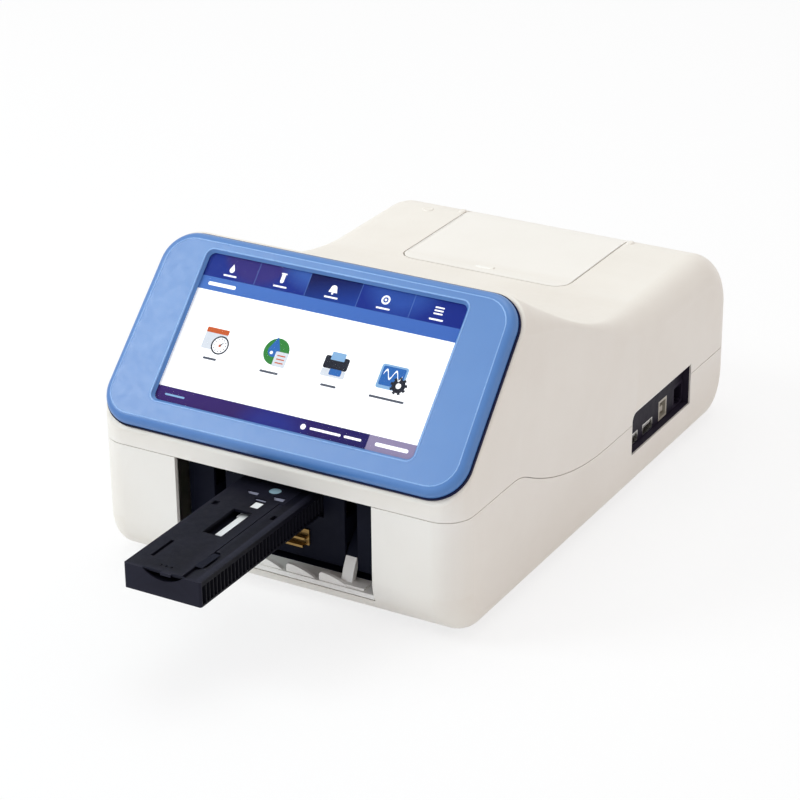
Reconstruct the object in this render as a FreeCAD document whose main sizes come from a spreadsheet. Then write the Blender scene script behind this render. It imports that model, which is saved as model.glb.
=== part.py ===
import FreeCAD
import Part
import math
import os
import re

import Sketcher

# Bench-top rapid test reader: a wedge-fronted casing with a tilted touch screen, a motor-driven
# test tray behind a folding front door, a reading head over the tray and a printer under a lid.
# Millimetres. +X right, +Y back, +Z up. The origin is on the table, under the middle of the whole
# machine with its tray run out. The rest pose has the tray out, the door open and the lid shut.

V = FreeCAD.Vector
doc = FreeCAD.newDocument("rapid_test_reader")

SIZES = {
    # casing
    "body_width": 217, "body_depth": 338, "body_height": 103, "foot_height": 3, "wall": 2.5,
    "side_round": 16, "base_edge_round": 10, "nose_round": 25, "heel_round": 28,
    "rear_round": 36, "saddle_round": 256, "panel_round": 20, "crease_round": 8, "crease_start": 30,
    "inner_round": 7.5, "rim_round": 2, "rim_margin": 2.6,
    "parting_front": 70.6, "parting_rear": 43.3, "parting_start": 58, "parting_run": 110,
    "parting_shoulder": 34, "parting_gap": 0.4,
    "foot_radius": 7, "foot_inset_x": 20, "foot_inset_front": 40, "foot_inset_rear": 38,
    "post_radius": 4.5, "post_inset_x": 16.5, "post_inset_front": 18, "post_inset_rear": 22,
    "screw_radius": 1.5, "screw_head_radius": 3, "screw_head_height": 2.4, "screw_grip": 5,
    "fit_gap": 0.05,
    # screen, measured in the plane of the glass
    "screen_tilt": 45.8, "window_setback": 9.5, "window_floor": 96.5,
    "window_width": 154.1, "window_height": 85, "window_corner": 3.5,
    "bezel_inset_top": 2.95, "bezel_inset_bottom": 0.95,
    "bezel_chin": 15.9, "bezel_brow": 9.9, "bezel_depth": 7, "bezel_lip": 2, "bezel_bevel": 1.7,
    "bezel_corner": 19, "bezel_edge_round": 4.5, "gasket_thickness": 1.8, "gasket_inset": -0.7,
    "glass_margin": 5, "glass_thickness": 1.1, "module_margin": 4, "module_thickness": 5.5,
    "board_thickness": 1.6, "display_spacer": 3,
    # front door and its bay
    "bay_width": 117.8, "bay_floor": 15.8, "door_gap": 0.5, "door_rest_height": 16.6,
    "door_clearance": 0.5, "door_setback": 2.8, "door_bottom_gap": 2.2, "door_tip_round": 2.4,
    "arm_offset": 39.5,
    "arm_width": 6.4, "arm_depth": 3.8, "arm_drop": 8.5,
    "link_reach": 20, "flange_length": 17, "hinge_pin_radius": 2, "hinge_boss_radius": 4,
    "rib_pitch": 19.8, "rib_shift": 4.6, "rib_length": 17.8, "rib_height": 5, "rib_thickness": 2,
    "door_sweep": 9.1,
    "liner_setback": 12.5, "liner_depth": 47, "liner_wall": 2,
    # tray and its drive
    "tray_reach": 98, "tray_width": 44.4, "tray_length": 180, "tray_thickness": 13.4,
    "tray_floor": 51.5, "tray_travel": 165, "tray_clearance": 1.2, "cover_thickness": 1.5,
    "cover_edge": 10.6, "lens_radius": 3.2, "rack_bar": 3.8, "gear_module": 1,
    "pinion_teeth": 20, "wheel_teeth": 40, "motor_teeth": 14, "gear_backlash": 0.12,
    "pinion_inset": 7, "pinion_width": 8,
    "wheel_width": 4, "axle_radius": 2, "motor_side": 28, "motor_height": 32,
    "motor_shaft_radius": 2.5, "sheet_steel": 1.5,
    # chassis and boards
    "chassis_inset": 23.5, "chassis_height": 8, "chassis_start": 54, "chassis_end": 33,
    "main_board_height": 24.4, "main_board_width": 60, "main_board_length": 102,
    "board_setback": 3.7,
    # ports
    "port_start": 201, "port_length": 79.5, "port_floor": 25, "port_height": 24.9,
    "port_depth": 4.8, "port_corner": 5, "port_rim": 2, "usb_width": 13.1, "usb_height": 6.5,
    "usb_b_width": 11, "usb_b_height": 12, "network_width": 13.6, "network_height": 13.5,
    "socket_depth": 17, "usb_place": 11.4, "usb_pitch": 19.7, "usb_b_place": 51.6,
    "network_place": 72.3,
    "rocker_tilt": 8, "switch_lift": 12,
    # printer and its lid
    "lid_width": 105.6, "lid_setback": 223.5, "lid_gap": 0.8, "ledge_width": 5,
    "lid_hinge_height": 75, "lid_hinge_inset": 4, "knuckle_radius": 3.2,
    "roll_radius": 22, "roll_width": 57, "roll_height": 70.2, "roll_setback": 288,
    "spindle_radius": 5, "platen_radius": 5, "platen_length": 57, "platen_height": 92,
    "platen_setback": 238, "printer_module": 0.8, "platen_teeth": 16, "feed_teeth": 12,
}

# Places worked out from the sizes. Each may use the ones above it.
PLACES = {
    "front": "(tray_reach - body_depth) / 2",
    "back": "front + body_depth",
    "top": "foot_height + body_height",
    "half_width": "body_width / 2",
    "glass_y": "front + window_setback",
    "bezel_reach": "bezel_depth - bezel_lip",
    "door_top": "parting_front - door_gap",
    "pivot_reach": "(door_top - door_rest_height + door_setback) / 2",
    "pivot_y": "front + pivot_reach",
    "pivot_z": "door_rest_height + pivot_reach",
    "liner_front": "front + liner_setback",
    "liner_back": "liner_front + liner_depth",
    "liner_round": "pivot_reach - wall - door_clearance",
    "liner_top": "parting_front - parting_gap - 0.3",
    "tray_front": "front - tray_reach",
    "tray_back": "tray_front + tray_length",
    "tray_top": "tray_floor + tray_thickness",
    "tray_half": "tray_width / 2",
    "rack_line": "tray_half - gear_module",
    "pinion_x": "rack_line + gear_module * pinion_teeth / 2",
    "pinion_y": "tray_back - pinion_inset",
    "motor_x": "pinion_x + gear_module * (wheel_teeth + motor_teeth) / 2",
    "chassis_half": "half_width - chassis_inset",
    "chassis_front": "front + chassis_start",
    "chassis_back": "back - chassis_end",
    "chassis_top": "chassis_height + sheet_steel",
    "motor_top": "chassis_top + motor_height",
    "bracket_top": "motor_top + sheet_steel",
    "wheel_floor": "bracket_top + 1.5",
    "wheel_top": "wheel_floor + wheel_width",
    "pinion_floor": "tray_floor + 1.5",
    "port_front": "front + port_start",
    "port_back": "port_front + port_length",
    "port_face": "half_width - port_depth",
    "board_top": "main_board_height + board_thickness",
    "lid_front": "front + lid_setback",
    "lid_half": "lid_width / 2",
    "lid_pivot_y": "back - lid_hinge_inset",
    "roll_y": "front + roll_setback",
    "platen_y": "front + platen_setback",
    "feed_z": "platen_height - printer_module * (platen_teeth + feed_teeth) / 2",
}

sheet = doc.addObject("Spreadsheet::Sheet", "Sizes")
for row, (alias, number) in enumerate(SIZES.items(), 1):
    sheet.set(f"A{row}", alias)
    sheet.set(f"B{row}", str(number))
    sheet.setAlias(f"B{row}", alias)
doc.recompute()

NAME = re.compile(r"[a-z][a-z_]+")


def formula(text):
    """The text with each size and place written as a reference into the document."""
    def refer(match):
        word = match.group()
        if word in SIZES:
            return "Sizes." + word
        return "Places." + word if word in PLACES else word
    return NAME.sub(refer, text)


places = doc.addObject("App::VarSet", "Places")
for place, text in PLACES.items():
    places.addProperty("App::PropertyFloat", place)
    places.setExpression(place, formula(text))
doc.recompute()


class Values:
    """Reads a size or a place as a number."""

    def __getattr__(self, name):
        return float(sheet.get(name)) if name in SIZES else getattr(places, name)


s = Values()
nodes = []


# ---- makers -------------------------------------------------------------------------------

def node(thing, label):
    """Marks a finished piece, which becomes one file."""
    thing.Label = label
    nodes.append(thing)
    return thing


def bind(thing, **formulas):
    for prop, text in formulas.items():
        thing.setExpression(prop.replace("__", "."), formula(text))


def seat(thing, x, y, z, tilted=False):
    """Places a thing at a point of the machine, or of the glass plane where it is tilted."""
    if tilted:
        y, z = (f"glass_y + ({y}) * cos(screen_tilt) - ({z}) * sin(screen_tilt)",
                f"window_floor + ({y}) * sin(screen_tilt) + ({z}) * cos(screen_tilt)")
        thing.Placement = FreeCAD.Placement(V(), FreeCAD.Rotation(V(1, 0, 0), 1))
        thing.setExpression(".Placement.Rotation.Angle", formula("screen_tilt * 1deg"))
    for axis, text in zip("xyz", (x, y, z)):
        thing.setExpression(f".Placement.Base.{axis}", formula(text))


def block(x, y, z, tilted=False):
    """A box between two formulas along each axis."""
    box = doc.addObject("Part::Box", "block")
    for prop, (low, high) in zip(("Length", "Width", "Height"), (x, y, z)):
        box.setExpression(prop, formula(f"({high}) - ({low})"))
    seat(box, x[0], y[0], z[0], tilted)
    return box


def pair(x, y, z):
    """Two mirrored boxes: x runs from the inner to the outer side of the right one."""
    return [block(x, y, z), block((f"-({x[1]})", f"-({x[0]})"), y, z)]


def rod(axis, radius, along, at):
    """A cylinder along an axis from along[0] to along[1]; at gives its other two places."""
    turn = {"x": FreeCAD.Rotation(V(0, 1, 0), 90), "y": FreeCAD.Rotation(V(1, 0, 0), -90),
            "z": FreeCAD.Rotation()}[axis]
    cylinder = doc.addObject("Part::Cylinder", "rod")
    bind(cylinder, Radius=radius, Height=f"({along[1]}) - ({along[0]})")
    cylinder.Placement = FreeCAD.Placement(V(), turn)
    spot = {"x": (along[0], at[0], at[1]), "y": (at[0], along[0], at[1]),
            "z": (at[0], at[1], along[0])}[axis]
    seat(cylinder, *spot)
    return cylinder


def rod_pair(radius, along, at):
    """Two mirrored cylinders along X."""
    return [rod("x", radius, along, at), rod("x", radius, (f"-({along[1]})", f"-({along[0]})"), at)]


def fuse(*parts):
    joined = doc.addObject("Part::MultiFuse", "joined")
    joined.Shapes = list(parts)
    return joined


def group(*parts):
    """Separate solids that share one node."""
    together = doc.addObject("Part::Compound", "group")
    together.Links = list(parts)
    return together


def cut(base, *tools):
    result = doc.addObject("Part::Cut", "cut")
    result.Base = base
    result.Tool = tools[0] if len(tools) == 1 else fuse(*tools)
    return result


def common(base, tool):
    result = doc.addObject("Part::Common", "common")
    result.Base = base
    result.Tool = tool
    return result


def feature(shape, name="shape"):
    thing = doc.addObject("Part::Feature", name)
    thing.Shape = shape
    return thing


def rounded(base, radius, chosen):
    """Rounds the edges whose middle point passes the test."""
    doc.recompute()
    rows = []
    for number, edge in enumerate(base.Shape.Edges, 1):
        middle = edge.valueAt((edge.FirstParameter + edge.LastParameter) / 2)
        if chosen(middle):
            rows.append((number, radius, radius))
    result = doc.addObject("Part::Fillet", "rounded")
    result.Base = base
    result.Edges = rows
    return result


def arc(centre, radius, start, end):
    """An arc in the plane x = 0; angles in degrees from +Y towards +Z."""
    points = []
    for angle in (start, (start + end) / 2, end):
        turn = math.radians(angle)
        points.append(V(0, centre[0] + radius * math.cos(turn), centre[1] + radius * math.sin(turn)))
    return Part.Arc(*points).toShape()


def side_line(*points):
    """Straight edges through (y, z) points in the plane x = 0."""
    spots = [V(0, y, z) for y, z in points]
    return [Part.makeLine(a, b) for a, b in zip(spots, spots[1:])]


def side_prism(edges, low, high):
    """The closed outline in the plane x = 0, drawn out from x = low to x = high."""
    face = Part.Face(Part.Wire(Part.__sortEdges__(edges)))
    face.translate(V(low, 0, 0))
    return face.extrude(V(high - low, 0, 0))


# ---- casing form --------------------------------------------------------------------------

tilt = math.radians(s.screen_tilt)
UP_SLOPE = (math.cos(tilt), math.sin(tilt))


def on_slope(run, rise):
    """(y, z) of a point of the glass plane: run up the slope, rise out of it."""
    return (s.glass_y + run * UP_SLOPE[0] - rise * UP_SLOPE[1],
            s.window_floor + run * UP_SLOPE[1] + rise * UP_SLOPE[0])


def peak():
    """(y, z) of the top of the screen slope."""
    return on_slope(s.window_height + s.bezel_brow + s.rim_margin, -s.bezel_reach)


def casing_outline():
    """The casing's side view: nose, screen slope, saddle, flat top, rear and heel."""
    low_y, low_z = on_slope(0, -s.bezel_reach)
    brow = (low_y + (s.front - low_y), low_z + (s.front - low_y) * math.tan(tilt))
    peak_y, peak_z = peak()
    lift = s.top + s.saddle_round
    saddle_y = peak_y + math.sqrt(s.saddle_round ** 2 - (lift - peak_z) ** 2)
    saddle_start = math.degrees(math.atan2(peak_z - lift, peak_y - saddle_y))
    crease = saddle_start + math.degrees(s.crease_start / s.saddle_round)
    base = s.foot_height
    return [
        *side_line((s.front, base + s.nose_round), brow, (peak_y, peak_z)),
        arc((saddle_y, lift), s.saddle_round, saddle_start, crease),
        arc((saddle_y, lift), s.saddle_round, crease, -90),
        *side_line((saddle_y, s.top), (s.back - s.rear_round, s.top)),
        arc((s.back - s.rear_round, s.top - s.rear_round), s.rear_round, 90, 0),
        *side_line((s.back, s.top - s.rear_round), (s.back, base + s.heel_round)),
        arc((s.back - s.heel_round, base + s.heel_round), s.heel_round, 0, -90),
        *side_line((s.back - s.heel_round, base), (s.front + s.nose_round, base)),
        arc((s.front + s.nose_round, base + s.nose_round), s.nose_round, -90, -180),
    ]


def is_slope(direction):
    return abs(abs(direction.y) - UP_SLOPE[0]) < 1e-3 and abs(abs(direction.z) - UP_SLOPE[1]) < 1e-3


def edge_radius(point, inset):
    """How far the casing's side edge is rounded at a point: tight underneath and behind the peak."""
    if point.z < s.foot_height + inset + 0.01:
        return s.base_edge_round
    if point.z < s.top + s.wall:
        return s.side_round
    return s.panel_round if point.y < peak()[0] + s.crease_start / 2 else s.crease_round


def casing_form(inset):
    """The casing as a solid block, everywhere this far inside the outer surface."""
    wire = Part.Wire(Part.__sortEdges__(casing_outline()))
    if inset:
        wire = wire.makeOffset2D(-inset, 2, False, False, False)
    half = s.half_width - inset
    face = Part.Face(wire)
    face.translate(V(-half, 0, 0))
    raw = feature(face.extrude(V(2 * half, 0, 0)), "casing_block")
    rows = []
    for number, edge in enumerate(raw.Shape.Edges, 1):
        first, last = edge.FirstParameter, edge.LastParameter
        if abs(abs(edge.valueAt((first + last) / 2).x) - half) > 1e-6:
            continue
        if edge.Curve.TypeId == "Part::GeomLine" and is_slope(edge.Curve.Direction):
            continue
        radii = [edge_radius(edge.valueAt(end), inset) for end in (first, last)]
        if inset:
            radii = [max(radius - inset, s.inner_round) for radius in radii]
        rows.append((number, *radii))
    form = doc.addObject("Part::Fillet", "casing_form")
    form.Base = raw
    form.Edges = rows
    doc.recompute()
    return form


def slope_face_edges(shape):
    normal = V(0, -UP_SLOPE[1], UP_SLOPE[0])
    for face in shape.Faces:
        if face.Surface.TypeId == "Part::GeomPlane" and abs(face.normalAt(0, 0).dot(normal)) > 0.9999:
            return face.Edges
    return []


outer = casing_form(0)
inner = casing_form(s.wall)
rimmed = outer.Shape.makeFillet(s.rim_round, slope_face_edges(outer.Shape))
skin = cut(feature(rimmed, "casing_skin"), inner)


def parting_edges(lift):
    """The lower casing's side outline, its top edge raised by lift."""
    drop = s.parting_front - s.parting_rear
    bend = 2 * math.atan(drop / s.parting_run)
    sweep = s.parting_run / math.sin(bend)
    start, end = s.front + s.parting_start, s.front + s.parting_start + s.parting_run
    high, low = s.parting_front + lift, s.parting_rear + lift
    shoulder, sag = s.parting_shoulder, sweep - s.parting_shoulder
    angle = math.degrees(bend)
    far = 20
    return [
        *side_line((s.back + far, low), (s.back + far, -far), (s.front - far, -far),
                   (s.front - far, high), (start, high)),
        arc((start, high - shoulder), shoulder, 90, 90 - angle),
        arc((end, low + sag), sag, -90 - angle, -90),
        *side_line((end, low), (s.back + far, low)),
    ]


def below_parting(lift):
    reach = s.half_width + 10
    return feature(side_prism(parting_edges(lift), -reach, reach), "below_parting")


POST_X = "(half_width - post_inset_x)"
POSTS = [(f"{side}{POST_X}", y, level) for side in ("", "-") for y, level in (
    ("(front + post_inset_front)", "parting_front"),
    ("(back - post_inset_rear)", "parting_rear"))]
FLOOR = "(foot_height + wall)"
INSIDE = "(foot_height + wall / 2)"


# ---- lower housing ------------------------------------------------------------------------

def lower_posts():
    return [rod("z", "post_radius", (INSIDE, level), (x, y)) for x, y, level in POSTS]


def post_screw_holes():
    holes = []
    for x, y, level in POSTS:
        seat_level = f"({level} - parting_gap - screw_grip)"
        holes.append(rod("z", "screw_radius + 0.3", ("0", f"{level} + 1"), (x, y)))
        holes.append(rod("z", "screw_head_radius + 0.4", ("0", seat_level), (x, y)))
    return holes


CHASSIS_HOLES = [(f"{side}(chassis_half - 5)", y) for side in ("", "-")
                 for y in ("(chassis_front + 4.5)", "(chassis_back - 4.5)")]

port_tool = rounded(block(("port_face", "half_width + 5"), ("port_front", "port_back"),
                          ("port_floor", "port_floor + port_height")), s.port_corner,
                    lambda p: abs(p.y - s.port_front) < 0.01
                    and abs(p.z - s.port_floor - s.port_height) < 0.01)
bay_tool = block(("-bay_width / 2", "bay_width / 2"), ("front - 5", "liner_front"),
                 ("bay_floor", "parting_front + 5"))
sweep_tool = rod("x", "pivot_reach + door_sweep", ("-bay_width / 2", "bay_width / 2"),
                 ("pivot_y", "pivot_z"))
JACK_X, JACK_Z = "(48.5 - half_width)", "(board_top + 5.4)"
SWITCH_X, SWITCH_Z = "(25.5 - half_width)", "(board_top + switch_lift)"
rear_tools = [
    rod("y", "4.7", ("back - wall - 1", "back + 2"), (JACK_X, JACK_Z)),
    block((f"{SWITCH_X} - 6.8", f"{SWITCH_X} + 6.8"), ("back - wall - 1", "back + 2"),
          (f"{SWITCH_Z} - 5.5", f"{SWITCH_Z} + 5.5")),
]
vent_tools = [block((f"{-40 + 8 * step}", f"{-36 + 8 * step}"), ("front + 190", "front + 230"),
                    ("-1", f"{FLOOR} + 1")) for step in range(11)]

lower_skin = common(skin, below_parting(0))
lower_bosses = [rod("z", "4", (INSIDE, "chassis_height"), spot) for spot in CHASSIS_HOLES]
lower_parts = fuse(lower_skin, common(fuse(*lower_posts()), inner), *lower_bosses)
boss_holes = [rod("z", "screw_radius", (f"{FLOOR} - 0.5", "chassis_height + 1"), spot)
              for spot in CHASSIS_HOLES]
node(cut(lower_parts, bay_tool, sweep_tool, port_tool, *rear_tools, *vent_tools,
         *post_screw_holes(), *boss_holes), "lower_housing")


# ---- upper housing and printer lid --------------------------------------------------------

def upper_posts():
    return [rod("z", "post_radius", (f"{level} + parting_gap", "top + body_height"), (x, y))
            for x, y, level in POSTS]


def post_pilot_holes():
    return [rod("z", "screw_radius + fit_gap", (level, f"{level} + 12"), (x, y))
            for x, y, level in POSTS]


def lid_region(margin, low, start):
    """The part of the casing that the lid covers, wider by margin all round."""
    return block((f"-lid_half - ({margin})", f"lid_half + ({margin})"),
                 (f"lid_front - ({margin}) + ({start})", "back + 10"), (low, "top + 10"))


EAR_X = [("lid_half - 8", "lid_half - 4.4"), ("lid_half - 28", "lid_half - 24.4")]
KNUCKLE_X = ("lid_half - 24", "lid_half - 8.4")

under_lid = casing_form(s.wall + 0.4)
under_ledge = casing_form(s.wall + 2.9)
ledge_outer = casing_form(s.wall - 0.5)
ledge_ring = cut(common(ledge_outer, lid_region("ledge_width", "lid_hinge_height + 12", "0")),
                 under_ledge)
lid_outline = rounded(lid_region("lid_gap", "lid_hinge_height - 5.2", "0"), 10 + s.lid_gap,
                      lambda p: abs(p.y - s.lid_front + s.lid_gap) < 0.01
                      and abs(abs(p.x) - s.lid_half - s.lid_gap) < 0.01)
lid_sink = cut(lid_outline, under_lid)
lid_well = lid_region("-ledge_width", "lid_hinge_height - 5.2", "0")

ears = []
for ear in EAR_X:
    for x in (ear, (f"-({ear[1]})", f"-({ear[0]})")):
        ears.append(rod("x", "knuckle_radius", x, ("lid_pivot_y", "lid_hinge_height")))
        ears.append(block(x, ("lid_pivot_y - knuckle_radius", "back - wall / 2"),
                          ("lid_hinge_height - 14", "lid_hinge_height - 5.4")))
        ears.append(block(x, ("lid_pivot_y - knuckle_radius", "lid_pivot_y + 1"),
                          ("lid_hinge_height - 6", "lid_hinge_height")))
lid_bore = rod("x", "screw_radius + fit_gap", ("-lid_half", "lid_half"),
               ("lid_pivot_y", "lid_hinge_height"))

screen_opening = block(("-window_width / 2 - module_margin - 1", "window_width / 2 + module_margin + 1"),
                       ("-module_margin - 1", "window_height + module_margin + 1"), ("-25", "5"),
                       tilted=True)
above = cut(skin, below_parting(s.parting_gap))
shell = cut(fuse(above, ledge_ring), lid_sink, lid_well)
upper_parts = fuse(shell, common(fuse(*upper_posts()), outer), *ears)
node(cut(upper_parts, screen_opening, port_tool, lid_bore, *post_pilot_holes()), "upper_housing")

lid_skin = common(cut(outer, inner), lid_region("0", "lid_hinge_height - 2.5", "0"))
lid_corners = rounded(lid_region("0", "lid_hinge_height - 2.5", "0"), 10,
                      lambda p: abs(p.y - s.lid_front) < 0.01 and abs(abs(p.x) - s.lid_half) < 0.01)
lid_plate = common(lid_skin, lid_corners)
knuckles, ear_notches, platen_arms = [], [], []
for low, high in (KNUCKLE_X, (f"-({KNUCKLE_X[1]})", f"-({KNUCKLE_X[0]})")):
    knuckles.append(rod("x", "knuckle_radius", (low, high), ("lid_pivot_y", "lid_hinge_height")))
for ear in EAR_X:
    ear_notches += pair((f"{ear[0]} - 0.5", f"{ear[1]} + 0.5"), ("back - 12", "back + 1"),
                        ("lid_hinge_height - 10", "lid_hinge_height + 7"))
ARM_X = ("platen_length / 2 + 2.5", "platen_length / 2 + 5")
platen_arms += pair(ARM_X, ("platen_y - 5", "platen_y + 6"),
                    ("platen_height - 5", "top - wall / 2"))
platen_bore = rod("x", "axle_radius + fit_gap", ("-platen_length", "platen_length"),
                  ("platen_y", "platen_height"))
finger_mark = rod("x", "2.2", ("-5", "5"), ("lid_front + 9", "top - 1.5"))
node(cut(fuse(lid_plate, *knuckles, *platen_arms, finger_mark), lid_bore, platen_bore, *ear_notches),
     "printer_lid")
node(group(*rod_pair("screw_radius", ("lid_half - 28", "lid_half - 4.4"),
                     ("lid_pivot_y", "lid_hinge_height"))), "lid_hinge_pins")

# ---- feet, chassis and screws -------------------------------------------------------------

node(group(*[rod("z", "foot_radius", ("0", "foot_height"), (f"{side}(half_width - foot_inset_x)", y))
             for side in ("", "-") for y in ("front + foot_inset_front", "back - foot_inset_rear")]),
     "rubber_feet")

chassis = block(("-chassis_half", "chassis_half"), ("chassis_front", "chassis_back"),
                ("chassis_height", "chassis_top"))
node(cut(chassis, *[rod("z", "screw_radius + 0.3", ("chassis_height - 1", "chassis_top + 1"), spot)
                    for spot in CHASSIS_HOLES]), "chassis_plate")


def screw(head_floor, direction, length, spot):
    """A screw along Z: its head's inner face at head_floor, its shank running in direction."""
    back_off = "-" if direction == "+" else "+"
    ends = sorted((f"{head_floor} {back_off} screw_head_height", head_floor),
                  key=lambda text: text == head_floor if direction == "+" else text != head_floor)
    head = rod("z", "screw_head_radius", tuple(ends), spot)
    shank = (head_floor, f"{head_floor} + {length}") if direction == "+" else (
        f"{head_floor} - {length}", head_floor)
    return fuse(head, rod("z", "screw_radius - fit_gap", shank, spot))


node(group(*[screw("chassis_top", "-", "4.5", spot) for spot in CHASSIS_HOLES]), "chassis_screws")
node(group(*[screw(f"({level} - parting_gap - screw_grip)", "+", "14", (x, y))
             for x, y, level in POSTS]), "housing_screws")


# ---- screen -------------------------------------------------------------------------------

def outline_sketch(body, corners, lift):
    """A closed sketch in the body's own XY plane: each corner is bound to two formulas."""
    sketch = body.newObject("Sketcher::SketchObject", "outline")
    plane = next(f for f in body.Origin.OriginFeatures if f.Role == "XY_Plane")
    sketch.AttachmentSupport = [(plane, "")]
    sketch.MapMode = "FlatFace"
    sketch.setExpression(".AttachmentOffset.Base.z", formula(lift))
    spots = [[evaluate(text) for text in corner] for corner in corners]
    for start, end in zip(spots, spots[1:] + spots[:1]):
        sketch.addGeometry(Part.LineSegment(V(*start), V(*end)))
    count = len(corners)
    for side in range(count):
        sketch.addConstraint(Sketcher.Constraint("Coincident", side, 2, (side + 1) % count, 1))
    for side, (corner, spot) in enumerate(zip(corners, spots)):
        for kind, text, number in zip(("DistanceX", "DistanceY"), corner, spot):
            row = sketch.addConstraint(Sketcher.Constraint(kind, -1, 1, side, 1, number))
            sketch.setExpression(f"Constraints[{row}]", formula(text))
    return sketch


def evaluate(text):
    """The number that a formula has now."""
    scratch.setExpression("answer", formula(text))
    doc.recompute([scratch])
    return scratch.answer


def pad(body, sketch, length):
    solid = body.newObject("PartDesign::Pad", "pad")
    solid.Profile = sketch
    solid.setExpression("Length", formula(length))
    return solid


def pocket(body, sketch, depth=None):
    """Cuts the sketch's area downwards, right through where no depth is given."""
    hole = body.newObject("PartDesign::Pocket", "pocket")
    hole.Profile = sketch
    if depth:
        hole.setExpression("Length", formula(depth))
    else:
        hole.Type = "ThroughAll"
    return hole


def dress(body, kind, base, size, chosen):
    """A fillet or chamfer on the edges whose middle point passes the test."""
    doc.recompute()
    names = []
    for number, edge in enumerate(base.Shape.Edges, 1):
        if chosen(edge.valueAt((edge.FirstParameter + edge.LastParameter) / 2)):
            names.append(f"Edge{number}")
    trim = body.newObject("PartDesign::" + kind, kind.lower())
    trim.Base = (base, names)
    trim.setExpression("Radius" if kind == "Fillet" else "Size", formula(size))
    return trim


def rectangle(low_x, high_x, low_y, high_y):
    return [(low_x, low_y), (high_x, low_y), (high_x, high_y), (low_x, high_y)]


scratch = doc.addObject("App::VarSet", "Scratch")
scratch.addProperty("App::PropertyFloat", "answer")

WINDOW = rectangle("-window_width / 2", "window_width / 2", "0", "window_height")


def frame_corners(inset):
    """The bezel's four corners, wider at the bottom, moved in by inset."""
    top_half = f"half_width - bezel_inset_top - ({inset})"
    bottom_half = f"half_width - bezel_inset_bottom - ({inset})"
    low, high = f"-bezel_chin + ({inset})", f"window_height + bezel_brow - ({inset})"
    return [(f"-({bottom_half})", low), (bottom_half, low), (top_half, high), (f"-({top_half})", high)]


def screen_body(label):
    body = doc.addObject("PartDesign::Body", label)
    seat(body, "0", "0", "0", tilted=True)
    return body


def upright(low, high):
    """Test for edges that stand along the body's Z between two heights."""
    return lambda p: low + 0.01 < p.z < high - 0.01


bezel = screen_body("bezel_body")
bezel_floor = s.gasket_thickness - s.bezel_reach
block_pad = pad(bezel, outline_sketch(bezel, frame_corners("0"), "gasket_thickness - bezel_reach"),
                "bezel_depth - gasket_thickness")
corners = dress(bezel, "Fillet", block_pad, "bezel_corner", upright(bezel_floor, s.bezel_lip))
crown = dress(bezel, "Fillet", corners, "bezel_edge_round", lambda p: abs(p.z - s.bezel_lip) < 0.01)
opening = pocket(bezel, outline_sketch(bezel, WINDOW, "bezel_lip"))
opening = dress(bezel, "Fillet", opening, "window_corner",
                lambda p: abs(abs(p.x) - s.window_width / 2) < 0.01
                and min(abs(p.y), abs(p.y - s.window_height)) < 0.01)
GLASS = rectangle("-window_width / 2 - glass_margin - 0.3", "window_width / 2 + glass_margin + 0.3",
                  "-glass_margin - 0.3", "window_height + glass_margin + 0.3")
rebate = pocket(bezel, outline_sketch(bezel, GLASS, "0"))
bevel = dress(bezel, "Chamfer", rebate, "bezel_bevel",
              lambda p: abs(p.z - s.bezel_lip) < 0.01 and abs(p.x) < s.window_width / 2 + 0.1
              and -0.1 < p.y < s.window_height + 0.1)
bezel.Tip = bevel
node(bezel, "display_bezel")

gasket = screen_body("gasket_body")
gasket_pad = pad(gasket, outline_sketch(gasket, frame_corners("gasket_inset"), "-bezel_reach"),
                 "gasket_thickness")
gasket_corners = dress(gasket, "Fillet", gasket_pad, "bezel_corner - gasket_inset",
                       upright(-s.bezel_reach, bezel_floor))
gasket.Tip = pocket(gasket, outline_sketch(gasket, GLASS, "gasket_thickness - bezel_reach + 0.1"))
node(gasket, "bezel_gasket")

node(block(("-window_width / 2 - glass_margin", "window_width / 2 + glass_margin"),
           ("-glass_margin", "window_height + glass_margin"), ("-glass_thickness", "0"),
           tilted=True), "touch_glass")
MODULE_X = ("-window_width / 2 - module_margin", "window_width / 2 + module_margin")
MODULE_Y = ("-module_margin", "window_height + module_margin")
MODULE_FLOOR = "(-glass_thickness - module_thickness)"
node(block(MODULE_X, MODULE_Y, (MODULE_FLOOR, "-glass_thickness"), tilted=True), "display_module")
BOARD_TOP = f"({MODULE_FLOOR} - display_spacer)"
node(group(*[block((f"{x} - 3", f"{x} + 3"), (f"{y} - 3", f"{y} + 3"), (BOARD_TOP, MODULE_FLOOR),
                   tilted=True)
             for x in ("window_width / 2 - 6", "6 - window_width / 2")
             for y in ("8", "window_height - 8")]), "display_spacers")
controller = block(MODULE_X, MODULE_Y, (f"{BOARD_TOP} - board_thickness", BOARD_TOP), tilted=True)
chips = [block((f"{x}", f"{x} + {wide}"), (f"{y}", f"{y} + {wide}"),
               (f"{BOARD_TOP} - board_thickness - 2", f"{BOARD_TOP} - board_thickness"), tilted=True)
         for x, y, wide in ((-50, 30, 14), (-8, 34, 17), (30, 20, 10), (34, 50, 12))]
node(fuse(controller, *chips), "display_board")

# ---- front door ---------------------------------------------------------------------------

DOOR_X = ("-bay_width / 2 + door_gap", "bay_width / 2 - door_gap")
door_skin = common(cut(outer, inner), block(DOOR_X, ("front - 5", "liner_front"),
                                            ("bay_floor + door_bottom_gap", "door_top")))
doc.recompute()
door_panel = rounded(door_skin, s.door_tip_round,
                     lambda p: abs(p.z - s.bay_floor - s.door_bottom_gap) < 0.01
                     and p.y < s.front + 4.6 and abs(p.x) < 1)


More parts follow.
